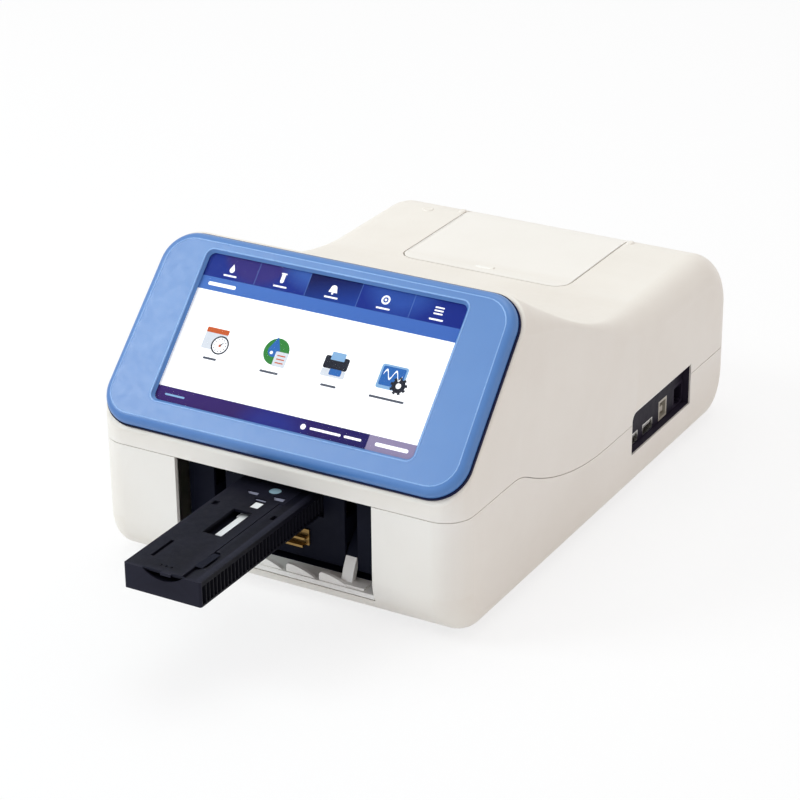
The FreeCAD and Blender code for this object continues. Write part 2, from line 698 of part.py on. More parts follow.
def arm_profile():
    """One hinge arm, shut, in the plane x = 0: a bent strap from the panel to the pivot."""
    pivot_y, pivot_z, reach = s.pivot_y, s.pivot_z, s.pivot_reach
    half = s.arm_depth / 2
    foot = V(0, pivot_y - reach + s.wall - 0.6, pivot_z + reach - s.arm_drop)
    knee = V(0, pivot_y - reach * 0.56, pivot_z + reach * 0.545)
    root = V(0, pivot_y, pivot_z)
    sides = []
    for sign in (1, -1):
        lean = V(0, half * 0.7, half * 0.7) * sign
        sides.append([foot + V(0, 0, half) * sign, knee + lean, root + V(0, half, 0) * sign])
    upper, lower = [Part.Arc(*side).toShape() for side in sides]
    ends = [Part.makeLine(sides[0][0], sides[1][0]), Part.makeLine(sides[0][2], sides[1][2])]
    return [upper, lower, *ends]


door_parts, link_parts = [], []
link_space = rod("x", "link_reach", DOOR_X, ("pivot_y", "pivot_z"))
for side in (1, -1):
    low = side * s.arm_offset - s.arm_width / 2
    arm = feature(side_prism(arm_profile(), low, low + s.arm_width), "arm")
    door_parts.append(cut(arm, link_space))
    link_parts.append(common(arm, link_space))
    middle = f"{side} * arm_offset"
    link_parts.append(rod("x", "hinge_boss_radius",
                          (f"{middle} - arm_width / 2", f"{middle} + arm_width / 2"),
                          ("pivot_y", "pivot_z")))
flanges = pair(("arm_offset - 5", "arm_offset - 5 + flange_length"),
               ("front + wall - 0.3", "front + wall + 1.2"), ("door_top - 7", "door_top - 1.5"))


def rib_shape(start):
    """A light fin on the door's inner face: tall and round at one end, running out at the other."""
    top, length, tall = s.door_top - 1, s.rib_length, s.rib_height
    wall_y = s.front + s.wall - 0.3
    points = [V(start, wall_y, top), V(start, wall_y + tall * 0.7, top),
              V(start + tall * 0.35, wall_y + tall, top)]
    nose = Part.Arc(points[1], V(start + tall * 0.1, wall_y + tall * 0.9, top), points[2]).toShape()
    tail = V(start + length, wall_y, top)
    slide = Part.Arc(points[2], V(start + length * 0.62, wall_y + tall * 0.62, top), tail).toShape()
    edges = [Part.makeLine(points[0], points[1]), nose, slide, Part.makeLine(tail, points[0])]
    return Part.Face(Part.Wire(edges)).extrude(V(0, 0, -s.rib_thickness))


RIBS = 5
for step in range(RIBS):
    door_parts.append(feature(rib_shape((step - RIBS / 2) * s.rib_pitch - s.rib_shift), "rib"))
hinge_bore = rod("x", "hinge_pin_radius + fit_gap", DOOR_X, ("pivot_y", "pivot_z"))


def swung_open(shut, label):
    """The shut piece turned about the hinge line into its rest pose, with the door open."""
    doc.recompute()
    shape = shut.Shape.copy()
    shape.rotate(V(0, s.pivot_y, s.pivot_z), V(1, 0, 0), 90)
    return feature(shape, label)


node(swung_open(fuse(door_panel, *door_parts, *flanges), "open_door"), "front_door")
node(swung_open(cut(fuse(*link_parts), hinge_bore), "open_links"), "door_links")

PIN_X = ("arm_offset - arm_width / 2 - 5", "arm_offset + arm_width / 2 + 8.5")
node(group(*rod_pair("hinge_pin_radius", PIN_X, ("pivot_y", "pivot_z"))), "door_hinge_pins")


def coil(start):
    """A short closed spring of round wire about the door's hinge line."""
    wire_radius, radius, pitch, turns = 0.5, s.hinge_pin_radius + 0.8, 1.3, 3
    helix = Part.makeHelix(pitch, pitch * turns, radius)
    circle = Part.Wire(Part.makeCircle(wire_radius, V(radius, 0, 0), V(0, 1, 0)))
    spring = Part.Wire(helix).makePipeShell([circle], True, True)
    spring.rotate(V(), V(0, 1, 0), 90)
    spring.translate(V(start, s.pivot_y, s.pivot_z))
    return spring


spring_start = s.arm_offset + s.arm_width / 2 + 3.6
node(group(*[feature(coil(start), "coil") for start in (spring_start, -spring_start - 4)]),
     "door_springs")


# ---- bay liner ----------------------------------------------------------------------------

def liner_solid(inset, low, high):
    """The dark block behind the door, rounded underneath to let the door swing past."""
    radius = s.liner_round - inset
    face, back = s.liner_front + inset, s.liner_back + (1 if inset else 0)
    roof = s.liner_top - inset
    corner = math.degrees(math.acos((s.pivot_y - face) / radius))
    toe = (face, s.pivot_z - radius * math.sin(math.radians(corner)))
    edges = [arc((s.pivot_y, s.pivot_z), radius, 180 + corner, 270)]
    floor = s.pivot_z - radius
    edges += side_line((s.pivot_y, floor), (s.pivot_y + 12, floor), (back, floor + 7),
                       (back, roof), (face, roof), toe)
    return feature(side_prism(edges, low, high), "liner_block")


half_bay = s.bay_width / 2 - s.door_gap
liner = cut(liner_solid(0, -half_bay, half_bay),
            liner_solid(s.liner_wall, s.liner_wall - half_bay, half_bay - s.liner_wall))
hinge_ribs = pair(("arm_offset - arm_width / 2 - 3.6", "arm_offset - arm_width / 2 - 0.6"),
                  ("liner_front + 1", "pivot_y + 7"), ("pivot_z - 7", "pivot_z + 7"))
hinge_ribs += pair(("arm_offset + arm_width / 2 + 0.6", "arm_offset + arm_width / 2 + 3.2"),
                   ("liner_front + 1", "pivot_y + 7"), ("pivot_z - 7", "pivot_z + 7"))
liner_feet = pair(("bay_width / 2 - 2", "bay_width / 2 + 7"), ("liner_back - 3.8", "liner_back"),
                  ("chassis_top", "pivot_z"))
tray_slot = block(("-tray_half - tray_clearance", "tray_half + tray_clearance"),
                  ("liner_front - 1", "liner_front + 5"),
                  ("tray_floor - tray_clearance", "tray_top + tray_clearance"))
arm_slots = pair(("arm_offset - arm_width / 2 - 0.5", "arm_offset + arm_width / 2 + 0.5"),
                 ("liner_front - 1", "liner_front + liner_wall + 0.5"),
                 ("pivot_z - pivot_reach * 0.72", "pivot_z + pivot_reach * 0.72"))
pin_holes = rod_pair("hinge_pin_radius", ("arm_offset - 12", "bay_width / 2 - 5"),
                     ("pivot_y", "pivot_z"))
node(cut(fuse(liner, *hinge_ribs, *liner_feet), tray_slot, *arm_slots, *pin_holes), "bay_liner")

CATCH_X = ("1", "15")
node(fuse(block(CATCH_X, ("liner_front - 1.2", "liner_front"), ("pivot_z - 12", "pivot_z - 3")),
          block(("0", "13"), ("liner_front - 4.6", "liner_front - 1"),
                ("pivot_z - 12.2", "pivot_z - 11")),
          block(("2", "14"), ("liner_front - 4", "liner_front - 1"), ("pivot_z - 8", "pivot_z - 6.8"))),
     "door_catch")

# ---- test tray ----------------------------------------------------------------------------

def prism(points, low, high):
    """A flat polygon of (x, y) points between two heights."""
    wire = Part.makePolygon([V(x, y, low) for x, y in [*points, points[0]]])
    return feature(Part.Face(wire).extrude(V(0, 0, high - low)), "prism")


def through_cover(x, y):
    return block(x, (f"tray_front + {y[0]}", f"tray_front + {y[1]}"),
                 ("tray_top - cover_thickness - 0.5", "tray_top + 1"))


COVER_Z = ("tray_top - cover_thickness", "tray_top")
COVER_TAIL = "(tray_front + 105.7)"
STEP_Y = "(tray_front + 88.4)"
LIP = "(tray_front + 1.5)"
RACK_BACK = "(tray_half - rack_bar)"

front_lip = rounded(block(("-tray_half", "tray_half"), ("tray_front", LIP), ("tray_floor", "tray_top")),
                    1.2, lambda p: abs(p.y - s.tray_front) < 0.01 and abs(abs(p.x) - s.tray_half) < 0.01)
tray_block = block(("-tray_half", RACK_BACK), (LIP, "tray_back"), ("tray_floor", "tray_top"))
cover_seat = [
    block(("-tray_half - 1", "cover_edge + 0.6"), (LIP, f"{COVER_TAIL} + 0.3"),
          ("tray_top - cover_thickness", "tray_top + 1")),
    block(("cover_edge", "cover_edge + 3.4"), (STEP_Y, f"{COVER_TAIL} + 0.3"),
          ("tray_top - cover_thickness", "tray_top + 1")),
]
scoop = rod("y", "18", ("tray_front - 1", "tray_front + 2"), ("0.5", "tray_top + 13.6"))
scoop_pocket = block(("-11.3", "11.7"), ("tray_front + 1", "tray_front + 7"),
                     ("tray_top - 4.4", "tray_top - cover_thickness + 0.1"))
strip_pocket = block(("-8", "6.5"), ("tray_front + 42", "tray_front + 86.1"),
                     ("tray_floor + 8.9", "tray_top"))
underside = block(("4 - tray_half", "tray_half - rack_bar - 2.5"), ("tray_front + 6", "tray_back - 3"),
                  ("tray_floor - 1", "tray_floor + 6"))
edge = s.cover_edge
hollow_depth = s.tray_top - 1.2
side_hollow = prism([(x, s.tray_front + y) for x, y in (
    (edge, 30.4), (edge + 3, 30.4), (edge + 5.6, 26.5), (edge + 5.6, 15), (edge + 2.8, 10.5),
    (edge + 2.8, 1.5), (edge, 1.5))], hollow_depth, s.tray_top + 1)
right_hole = block(("15.4", "17.7"), ("tray_front + 72", "tray_front + 76.4"),
                   ("tray_top - 2.5", "tray_top + 1"))
node(cut(fuse(front_lip, tray_block), *cover_seat, scoop, scoop_pocket, strip_pocket, underside,
         side_hollow, right_hole), "tray_base")

PAD_SHAPES = [[(-12.1, 94.8), (-5, 95.4), (-4.1, 91.5), (-9.1, 91.5)],
              [(3.5, 94.8), (10.7, 95.5), (11.2, 91.3), (6.2, 91.1)],
              [(-3.5, 88.9), (3.2, 89.1), (3.8, 86.7), (-2.4, 86.7)]]
LENS = ("1.3", "tray_front + 100")


def pad_shape(points, low, high):
    return prism([(x, s.tray_front + y) for x, y in points], low, high)


cover_cuts = [pad_shape(points, s.tray_top - 3, s.tray_top + 1) for points in PAD_SHAPES]
cover_cuts += [
    through_cover(("-6.5", "4.5"), ("45", "73.5")),
    through_cover(("-1.2", "4.1"), ("78.8", "85.7")),
    through_cover(("-19.8", "-16.6"), ("72.5", "76.6")),
    through_cover(("-15", "-13"), ("12.5", "30.5")),
    rod("z", "lens_radius + 0.1", ("tray_top - 3", "tray_top + 1"), LENS),
]
for offset in (-5.4, -2.4, 0.6):
    x, y = offset, s.tray_front + 6
    cover_cuts.append(prism([(x, y), (x + 1, y), (x + 1.7, y + 0.7), (x + 1, y + 1.4), (x, y + 1.4),
                             (x + 0.7, y + 0.7)], s.tray_top - 0.4, s.tray_top + 1))
cover_sheet = fuse(block(("-tray_half", "cover_edge"), (LIP, COVER_TAIL), COVER_Z),
                   block(("cover_edge - 1", "cover_edge + 3.1"), (f"{STEP_Y} + 0.3", COVER_TAIL), COVER_Z),
                   block(("-1", "5"), ("tray_front + 0.2", f"{LIP} + 1"), COVER_Z))
node(cut(cover_sheet, *cover_cuts), "tray_cover")

pressure = math.radians(20)
tooth_pitch = math.pi * s.gear_module
rack_root = s.rack_line - 1.25 * s.gear_module


def rack_tooth(centre):
    """One rack tooth pointing towards +X, in the plane z = 0."""
    half = tooth_pitch / 4 - s.gear_backlash / 2
    root_half = half + (s.rack_line - rack_root) * math.tan(pressure)
    tip_half = half - s.gear_module * math.tan(pressure)
    return [(rack_root - 0.5, centre - root_half), (rack_root, centre - root_half),
            (s.tray_half, centre - tip_half), (s.tray_half, centre + tip_half),
            (rack_root, centre + root_half), (rack_root - 0.5, centre + root_half)]


RACK_Z = ("tray_floor + 1.1", "tray_top - 2.6")
rack_low, rack_high = s.tray_floor + 1.1, s.tray_top - 2.6
rack_start = s.tray_front + 1.5
rack_parts = [
    block((RACK_BACK, "rack_line - 1.25 * gear_module"), (LIP, "tray_back"), ("tray_floor", "tray_top")),
    block((RACK_BACK, "tray_half"), (LIP, "tray_back"), ("tray_floor", RACK_Z[0])),
    block((RACK_BACK, "tray_half"), (LIP, "tray_back"), (RACK_Z[1], "tray_top")),
]
first_tooth = math.ceil((rack_start + 1.6 - s.pinion_y) / tooth_pitch - 0.5)
last_tooth = math.floor((s.tray_back - 1.6 - s.pinion_y) / tooth_pitch - 0.5)
for number in range(first_tooth, last_tooth + 1):
    rack_parts.append(prism(rack_tooth(s.pinion_y + (number + 0.5) * tooth_pitch), rack_low, rack_high))
node(fuse(*rack_parts), "tray_rack")

STRIP_Z = ("tray_floor + 8.9", "tray_floor + 9.9")
node(fuse(block(("-3.1", "1.4"), ("tray_front + 51", "tray_front + 79"), STRIP_Z),
          block(("-4.4", "1.4"), ("tray_front + 72.5", "tray_front + 79"), STRIP_Z),
          block(("-5", "4.5"), ("tray_front + 78", "tray_front + 85.8"), STRIP_Z),
          block(("-1", "3.9"), ("tray_front + 79", "tray_front + 85.5"),
                ("tray_floor + 9", "tray_top - 0.5"))),
     "reference_strip")
SEAT = s.tray_top - s.cover_thickness


def shrunk(points, part):
    """The polygon drawn in towards its middle, to this part of its size."""
    middle = [sum(axis) / len(points) for axis in zip(*points)]
    return [[m + part * (v - m) for v, m in zip(point, middle)] for point in points]


node(group(*[pad_shape(shrunk(points, 0.92), SEAT, SEAT + 0.8) for points in PAD_SHAPES]),
     "calibration_pads")
node(rod("z", "lens_radius", ("tray_top - cover_thickness", "tray_top - 0.2"), LENS), "tray_lens")

GUIDE_Z = ("tray_floor - 1.6", "tray_floor - 0.3")
LEFT_WALL = ("-tray_half - 4.8", "-tray_half - 0.4")
RIGHT_WALL = ("tray_half + 0.4", "tray_half + 2.6")
guide_y = ("liner_back + 0.5", "tray_back + tray_travel + 3")
guide_parts = [
    block((LEFT_WALL[0], RIGHT_WALL[1]), guide_y, GUIDE_Z),
    block(LEFT_WALL, guide_y, (GUIDE_Z[0], "tray_top - 3")),
    block(RIGHT_WALL, ("pinion_y + 15", guide_y[1]), (GUIDE_Z[0], "tray_top - 3")),
]
for x in (("-tray_half - 4.8", "-tray_half - 1.8"), ("tray_half - 0.4", "tray_half + 2.6")):
    for y in (("front + 100", "front + 108"), ("front + 238", "front + 246")):
        guide_parts.append(block(x, y, ("chassis_top", GUIDE_Z[1])))
node(fuse(*guide_parts), "tray_guide")
node(fuse(block(("-tray_half - 11.8", "-tray_half - 4.8"), ("front + 215", "front + 225"),
                ("tray_floor - 1.5", "tray_floor + 8")),
          block(("-tray_half - 14.8", "-tray_half - 11.8"), ("front + 217", "front + 223"),
                ("tray_floor", "tray_floor + 6"))), "tray_sensor")

# ---- gears and drive ----------------------------------------------------------------------


def gear(teeth, module, low, high, turn=0.0):
    """An involute gear about the Z axis; the first tooth points along the turn angle."""
    pitch = module * teeth / 2
    base, root, tip = pitch * math.cos(pressure), pitch - 1.25 * module, pitch + module

    def involute(radius):
        angle = math.acos(min(1.0, base / radius))
        return math.tan(angle) - angle

    half_tooth = (math.pi * module / 2 - s.gear_backlash) / (2 * pitch)
    start = max(root, base)
    flank = [(start + (tip - start) * step / 4) for step in range(5)]
    side = [(radius, half_tooth + involute(pitch) - involute(radius)) for radius in flank]
    if root < base:
        side.insert(0, (root, side[0][1]))
    outline = []
    for tooth in range(teeth):
        middle = 2 * math.pi * tooth / teeth + math.radians(turn)
        outline += [(radius, middle - angle) for radius, angle in side]
        outline += [(radius, middle + angle) for radius, angle in reversed(side)]
    points = [V(r * math.cos(a), r * math.sin(a), low) for r, a in outline]
    return Part.Face(Part.makePolygon([*points, points[0]])).extrude(V(0, 0, high - low))


def standing(shape, x, y):
    shape.translate(V(x, y, 0))
    return feature(shape, "gear")


def crosswise(shape, y, z):
    """A gear made about Z, turned to spin about X at (y, z); its heights become x."""
    shape.rotate(V(), V(0, 1, 0), 90)
    shape.translate(V(0, y, z))
    return feature(shape, "gear")


wheel = gear(int(s.wheel_teeth), s.gear_module, s.wheel_floor, s.wheel_top)
pinion = gear(int(s.pinion_teeth), s.gear_module, s.pinion_floor, s.pinion_floor + s.pinion_width, 180)
PINION_AT = ("pinion_x", "pinion_y")
hub = rod("z", "6", ("wheel_floor", "pinion_floor + pinion_width"), PINION_AT)
hub_bore = rod("z", "axle_radius + fit_gap", ("wheel_floor - 1", "pinion_floor + 20"), PINION_AT)
node(cut(fuse(standing(wheel, s.pinion_x, s.pinion_y), standing(pinion, s.pinion_x, s.pinion_y), hub),
         hub_bore), "drive_gear")
node(fuse(rod("z", "axle_radius", ("motor_top", "tray_top - 0.5"), PINION_AT),
          rod("z", "axle_radius + 1.5", ("tray_top - 2.4", "tray_top - 0.5"), PINION_AT)), "idler_axle")

half_step = 180 / s.motor_teeth
pinion_on_motor = gear(int(s.motor_teeth), s.gear_module, s.wheel_floor - 0.5, s.wheel_top + 1,
                       180 + half_step)
MOTOR_AT = ("motor_x", "pinion_y")
node(fuse(standing(pinion_on_motor, s.motor_x, s.pinion_y),
          rod("z", "motor_shaft_radius", ("motor_top - 8", "wheel_top + 2"), MOTOR_AT)), "motor_gear")
MOTOR_X = ("motor_x - motor_side / 2", "motor_x + motor_side / 2")
MOTOR_Y = ("pinion_y - motor_side / 2", "pinion_y + motor_side / 2")
motor_can = rounded(block(MOTOR_X, MOTOR_Y, ("chassis_top", "motor_top")), 4,
                    lambda p: abs(abs(p.x - s.motor_x) - s.motor_side / 2) < 0.01
                    and abs(abs(p.y - s.pinion_y) - s.motor_side / 2) < 0.01)
node(cut(motor_can, rod("z", "motor_shaft_radius + fit_gap", ("motor_top - 8.5", "motor_top + 1"),
                        MOTOR_AT)), "tray_motor")
bracket_sheet = block(("pinion_x - 16", "motor_x + motor_side / 2 + 4"), MOTOR_Y,
                      ("motor_top", "bracket_top"))
bracket_legs = [
    block(("motor_x + motor_side / 2 + 2.5", "motor_x + motor_side / 2 + 4"), MOTOR_Y,
          ("chassis_top", "bracket_top")),
    block(("pinion_x - 16", "pinion_x - 14.5"), MOTOR_Y, ("chassis_top", "bracket_top")),
]
node(cut(fuse(bracket_sheet, *bracket_legs),
         rod("z", "motor_shaft_radius + 1.5", ("motor_top - 1", "bracket_top + 1"), MOTOR_AT),
         rod("z", "axle_radius", ("motor_top - 1", "bracket_top + 1"), PINION_AT)), "motor_bracket")

# ---- reading head -------------------------------------------------------------------------

bridge_y = ("front + 100", "front + 150")
BRIDGE_Z = ("tray_top + 3.1", "tray_top + 5.1")
HEAD_AT = ("0", "front + 125")
bridge_legs = pair(("tray_half + 20.8", "tray_half + 22.8"), bridge_y, ("chassis_top", BRIDGE_Z[1]))
node(cut(fuse(block(("-tray_half - 22.8", "tray_half + 22.8"), bridge_y, BRIDGE_Z), *bridge_legs),
         rod("z", "8", ("tray_top", "tray_top + 10"), HEAD_AT)), "optics_bridge")
head_y = ("front + 108", "front + 144")
HEAD_Z = ("tray_top + 5.1", "top - 2")
head_box = rounded(block(("-16", "16"), head_y, HEAD_Z), 3,
                   lambda p: abs(abs(p.x) - 16) < 0.01 and s.tray_top + 6 < p.z < s.top - 3)
barrel = rod("z", "7.9", ("tray_top + 2", HEAD_Z[0]), HEAD_AT)
node(cut(fuse(head_box, barrel), rod("z", "6", ("tray_top", "top - 8"), HEAD_AT),
         rod("x", "5", ("8", "17"), ("front + 125", "tray_top + 20"))), "optical_head")
node(rod("z", "6", ("tray_top + 2.5", "tray_top + 6.5"), HEAD_AT), "objective_lens")
node(fuse(rod("x", "5", ("8", "34"), ("front + 125", "tray_top + 20")),
          rod("x", "7", ("16", "19"), ("front + 125", "tray_top + 20"))), "led_module")
node(fuse(block(("-20", "20"), ("front + 106", "front + 148"),
                (HEAD_Z[1], f"{HEAD_Z[1]} + board_thickness")),
          block(("-7", "7"), ("front + 118", "front + 132"),
                (f"{HEAD_Z[1]} + board_thickness", f"{HEAD_Z[1]} + 4"))), "detector_board")

# ---- boards and ports ---------------------------------------------------------------------

BOARD_Z = ("main_board_height", "board_top")
main_x = ("port_face - board_setback - main_board_width", "port_face - board_setback")
main_y = ("port_front - 13", "port_front - 13 + main_board_length")
board_parts = [block(main_x, main_y, BOARD_Z)]


def chip(corner_x, corner_y, x, y, wide, deep, tall):
    """A part standing on a board, placed from the board's front left corner."""
    return block((f"{corner_x} + {x}", f"{corner_x} + {x + wide}"),
                 (f"{corner_y} + {y}", f"{corner_y} + {y + deep}"), ("board_top", f"board_top + {tall}"))


for x, y, wide, deep, tall in ((6, 10, 20, 20, 3), (10, 40, 14, 18, 2), (30, 6, 8, 24, 4),
                               (8, 70, 22, 9, 6), (34, 74, 7, 14, 2)):
    board_parts.append(chip(main_x[0], main_y[0], x, y, wide, deep, tall))
node(fuse(*board_parts), "main_board")

power_x, power_y = ("22.5 - half_width", "72.5 - half_width"), ("back - 68", "back - 15")
power_parts = [block(power_x, power_y, BOARD_Z)]
for x, y, wide, deep, tall in ((4, 8, 16, 16, 12), (26, 10, 9, 9, 14), (39, 8, 8, 18, 8)):
    power_parts.append(chip(power_x[0], power_y[0], x, y, wide, deep, tall))
node(fuse(*power_parts), "power_board")
STANDOFFS = [(f"{main_x[0]} + {x}", f"{main_y[0]} + {y}") for x in (5, 40) for y in (6, 94)]
STANDOFFS += [(f"{power_x[0]} + {x}", f"{power_y[0]} + {y}") for x in (16, 34) for y in (6, 30)]
node(group(*[rod("z", "3", ("chassis_top", "main_board_height"), spot) for spot in STANDOFFS]),
     "board_standoffs")

tub = block(("port_face - 1.5", "half_width - wall"), ("port_front - port_rim", "port_back + port_rim"),
            ("port_floor - port_rim", "port_floor + port_height + port_rim"))
recess = rounded(block(("port_face", "half_width + 5"), ("port_front", "port_back"),
                       ("port_floor", "port_floor + port_height")), s.port_corner,
                 lambda p: abs(p.y - s.port_front) < 0.01
                 and abs(p.z - s.port_floor - s.port_height) < 0.01)


def socket(middle, width, height, lift=0):
    """The box of a socket on the main board, given along Y from the front of the recess."""
    return (("port_face - socket_depth", "port_face"),
            (f"port_front + {middle} - {width} / 2", f"port_front + {middle} + {width} / 2"),
            (f"board_top + {lift}", f"board_top + {lift} + {height}"))


USB_A = [socket(middle, "usb_width", "usb_height") for middle in ("usb_place", "usb_place + usb_pitch")]
USB_B = socket("usb_b_place", "usb_b_width", "usb_b_height")
NETWORK = socket("network_place", "network_width", "network_height")
node(cut(tub, recess, *[block(*spot) for spot in (*USB_A, USB_B, NETWORK)]), "port_panel")


def mouth(spot, side, depth):
    """The hollow of a socket: this far inside the box on each side, open to the right."""
    x, y, z = spot
    return block((f"port_face - {depth}", "port_face + 1"), (f"{y[0]} + {side}", f"{y[1]} - {side}"),
                 (f"{z[0]} + {side}", f"{z[1]} - {side}"))


usb_parts = []
for spot in USB_A:
    shell = cut(block(*spot), mouth(spot, "0.5", "12"))
    tongue = block(("port_face - 13", "port_face - 1"), (f"{spot[1][0]} + 1.1", f"{spot[1][1]} - 1.1"),
                   (f"{spot[2][0]} + 3.2", f"{spot[2][0]} + 4.9"))
    usb_parts.append(fuse(shell, tongue))
node(group(*usb_parts), "usb_ports")
usb_b_tongue = block(("port_face - 13", "port_face - 1"), (f"{USB_B[1][0]} + 3.4", f"{USB_B[1][1]} - 3.4"),
                     (f"{USB_B[2][0]} + 4", f"{USB_B[2][0]} + 7.2"))
node(fuse(cut(block(*USB_B), mouth(USB_B, "1.4", "12")), usb_b_tongue), "usb_b_port")
contacts = [block(("port_face - 13.5", "port_face - 3"),
                  (f"{NETWORK[1][0]} + {2.6 + 1.1 * row}", f"{NETWORK[1][0]} + {3.1 + 1.1 * row}"),
                  (f"{NETWORK[2][1]} - 3.4", f"{NETWORK[2][1]} - 2.9")) for row in range(8)]
network_latch = block(("port_face - 8", "port_face + 1"),
                      (f"{NETWORK[1][0]} + 4.2", f"{NETWORK[1][1]} - 4.2"),
                      (f"{NETWORK[2][0]} + 0.8", f"{NETWORK[2][0]} + 3"))
node(cut(block(*NETWORK), mouth(NETWORK, "1.8", "13.5"), network_latch), "network_port")
node(group(*contacts), "network_contacts")

JACK_BACK = "(back - wall)"
jack_box = block((f"{JACK_X} - 4.5", f"{JACK_X} + 4.5"), (f"{JACK_BACK} - 12", f"{JACK_BACK} - 0.8"),
                 ("board_top", "board_top + 11"))
jack_nose = rod("y", "4.4", (f"{JACK_BACK} - 1", "back - 0.3"), (JACK_X, JACK_Z))
jack_hollow = rod("y", "3.1", (f"{JACK_BACK} - 8", "back + 1"), (JACK_X, JACK_Z))
node(fuse(cut(fuse(jack_box, jack_nose), jack_hollow),
          rod("y", "0.9", (f"{JACK_BACK} - 9", "back - 1.3"), (JACK_X, JACK_Z))), "dc_jack")

ROCKER_Y = "(back - 4.2)"
switch_frame = block((f"{SWITCH_X} - 6.5", f"{SWITCH_X} + 6.5"), ("back - 14", "back"),
                     (f"{SWITCH_Z} - 5.2", f"{SWITCH_Z} + 5.2"))
switch_flange = block((f"{SWITCH_X} - 8.3", f"{SWITCH_X} + 8.3"), (f"{JACK_BACK} - 1.6", JACK_BACK),
                      (f"{SWITCH_Z} - 6.6", f"{SWITCH_Z} + 6.6"))
switch_hollow = block((f"{SWITCH_X} - 5.6", f"{SWITCH_X} + 5.6"), ("back - 9.4", "back + 1"),
                      (f"{SWITCH_Z} - 4.4", f"{SWITCH_Z} + 4.4"))
node(cut(fuse(switch_frame, switch_flange), switch_hollow,
         rod("x", "0.8", (f"{SWITCH_X} - 6.4", f"{SWITCH_X} + 6.4"), (ROCKER_Y, SWITCH_Z))), "power_switch")


def rocker_shape():
    """The rocker in its level pose, its two faces meeting in a shallow valley."""
    outline = [(-2.2, -3.2), (3.6, -3.9), (2.9, 0), (3.6, 3.9), (-2.2, 3.2)]
    centre = (s.back - 4.2, s.board_top + s.switch_lift)
    edges = side_line(*[(centre[0] + y, centre[1] + z) for y, z in [*outline, outline[0]]])
    middle = evaluate(SWITCH_X)
    body = side_prism(edges, middle - 5.2, middle + 5.2)
    body.rotate(V(0, *centre), V(1, 0, 0), s.rocker_tilt)
    return body


node(fuse(feature(rocker_shape(), "rocker"),
          rod("x", "0.75", (f"{SWITCH_X} - 6.3", f"{SWITCH_X} + 6.3"), (ROCKER_Y, SWITCH_Z))),
     "switch_rocker")

# ---- printer ------------------------------------------------------------------------------

FRAME_X = ("platen_length / 2 + 7.5", "platen_length / 2 + 9.5")
frame_y = ("platen_y - 12", "platen_y + 12")
PAPER_Z = ("roll_height - 0.2", "roll_height + 1.3")
frame_sides = pair(FRAME_X, frame_y, ("chassis_top", "top - 7"))
frame_parts = [
    *frame_sides,
    block((f"-({FRAME_X[1]})", FRAME_X[1]), ("platen_y - 10", "platen_y + 24"), PAPER_Z),
    block((f"-({FRAME_X[1]})", FRAME_X[1]), ("platen_y - 12", "platen_y - 9"),
          (PAPER_Z[0], "top - 8")),
]
node(cut(fuse(*frame_parts), rod("x", "2", ("30", "40"), ("platen_y", "feed_z"))), "printer_frame")
node(block(("-platen_length / 2 - 0.5", "platen_length / 2 + 0.5"),
           ("platen_y - 9", "platen_y - platen_radius - 0.3"), ("platen_height - 8", "platen_height + 6")),
     "print_head")
PLATEN_AT = ("platen_y", "platen_height")
node(fuse(rod("x", "platen_radius", ("-platen_length / 2", "platen_length / 2"), PLATEN_AT),
          rod("x", "axle_radius", ("-platen_length / 2 - 6.5", "platen_length / 2 + 7"), PLATEN_AT)),
     "platen_roller")
gear_low, gear_high = s.platen_length / 2 + 5.2, s.platen_length / 2 + 7.1
platen_gear = gear(int(s.platen_teeth), s.printer_module, gear_low, gear_high)
node(cut(crosswise(platen_gear, s.platen_y, s.platen_height),
         rod("x", "axle_radius", ("30", "40"), PLATEN_AT)), "platen_gear")
feed = gear(int(s.feed_teeth), s.printer_module, gear_low, gear_high, 180 / s.feed_teeth)
FEED_AT = ("platen_y", "feed_z")
node(fuse(crosswise(feed, s.platen_y, s.feed_z),
          rod("x", "1.5", ("platen_length / 2 + 5.2", "platen_length / 2 + 16"), FEED_AT)), "feed_gear")
node(cut(fuse(rod("x", "8", (FRAME_X[1], f"{FRAME_X[1]} + 20"), FEED_AT),
              block((FRAME_X[1], f"{FRAME_X[1]} + 1.5"), ("platen_y - 11", "platen_y + 11"),
                    ("feed_z - 8", "feed_z + 8"))),
         rod("x", "1.55", (FRAME_X[0], f"{FRAME_X[1]} + 7"), FEED_AT)), "printer_motor")

BIN_X = "(roll_width / 2 + 3)"
bin_y = ("roll_y - 26", "roll_y + 26")
BIN_Z = ("roll_height - roll_radius - 2.2", "roll_height + 13.8")
ROLL_AT = ("roll_y", "roll_height")
paper_box = block((f"-{BIN_X}", BIN_X), bin_y, BIN_Z)
paper_space = block((f"1.8 - {BIN_X}", f"{BIN_X} - 1.8"), (f"{bin_y[0]} + 1.8", f"{bin_y[1]} - 1.8"),
                    (f"{BIN_Z[0]} + 1.8", "top"))
SPINDLE_X = (f"-{BIN_X} - 2", f"{BIN_X} + 2")
spindle_slots = [rod("x", "spindle_radius", SPINDLE_X, ROLL_AT),
                 block(SPINDLE_X, ("roll_y - spindle_radius", "roll_y + spindle_radius"),
                       ("roll_height", "top"))]
paper_mouth = block(("1.8 - roll_width / 2", "roll_width / 2 - 1.8"),
                    (f"{bin_y[0]} - 1", f"{bin_y[0]} + 3"), (f"{PAPER_Z[1]} + 0.5", "top"))
bin_legs = [rod("z", "3", ("chassis_top", f"{BIN_Z[0]} + 1"), (x, y))
            for x in ("6.5 - roll_width / 2", "roll_width / 2 - 6.5") for y in ("roll_y - 21", "roll_y + 11")]
node(fuse(cut(paper_box, paper_space, *spindle_slots, paper_mouth), *bin_legs), "paper_bin")
node(rod("x", "spindle_radius", SPINDLE_X, ROLL_AT), "paper_spindle")
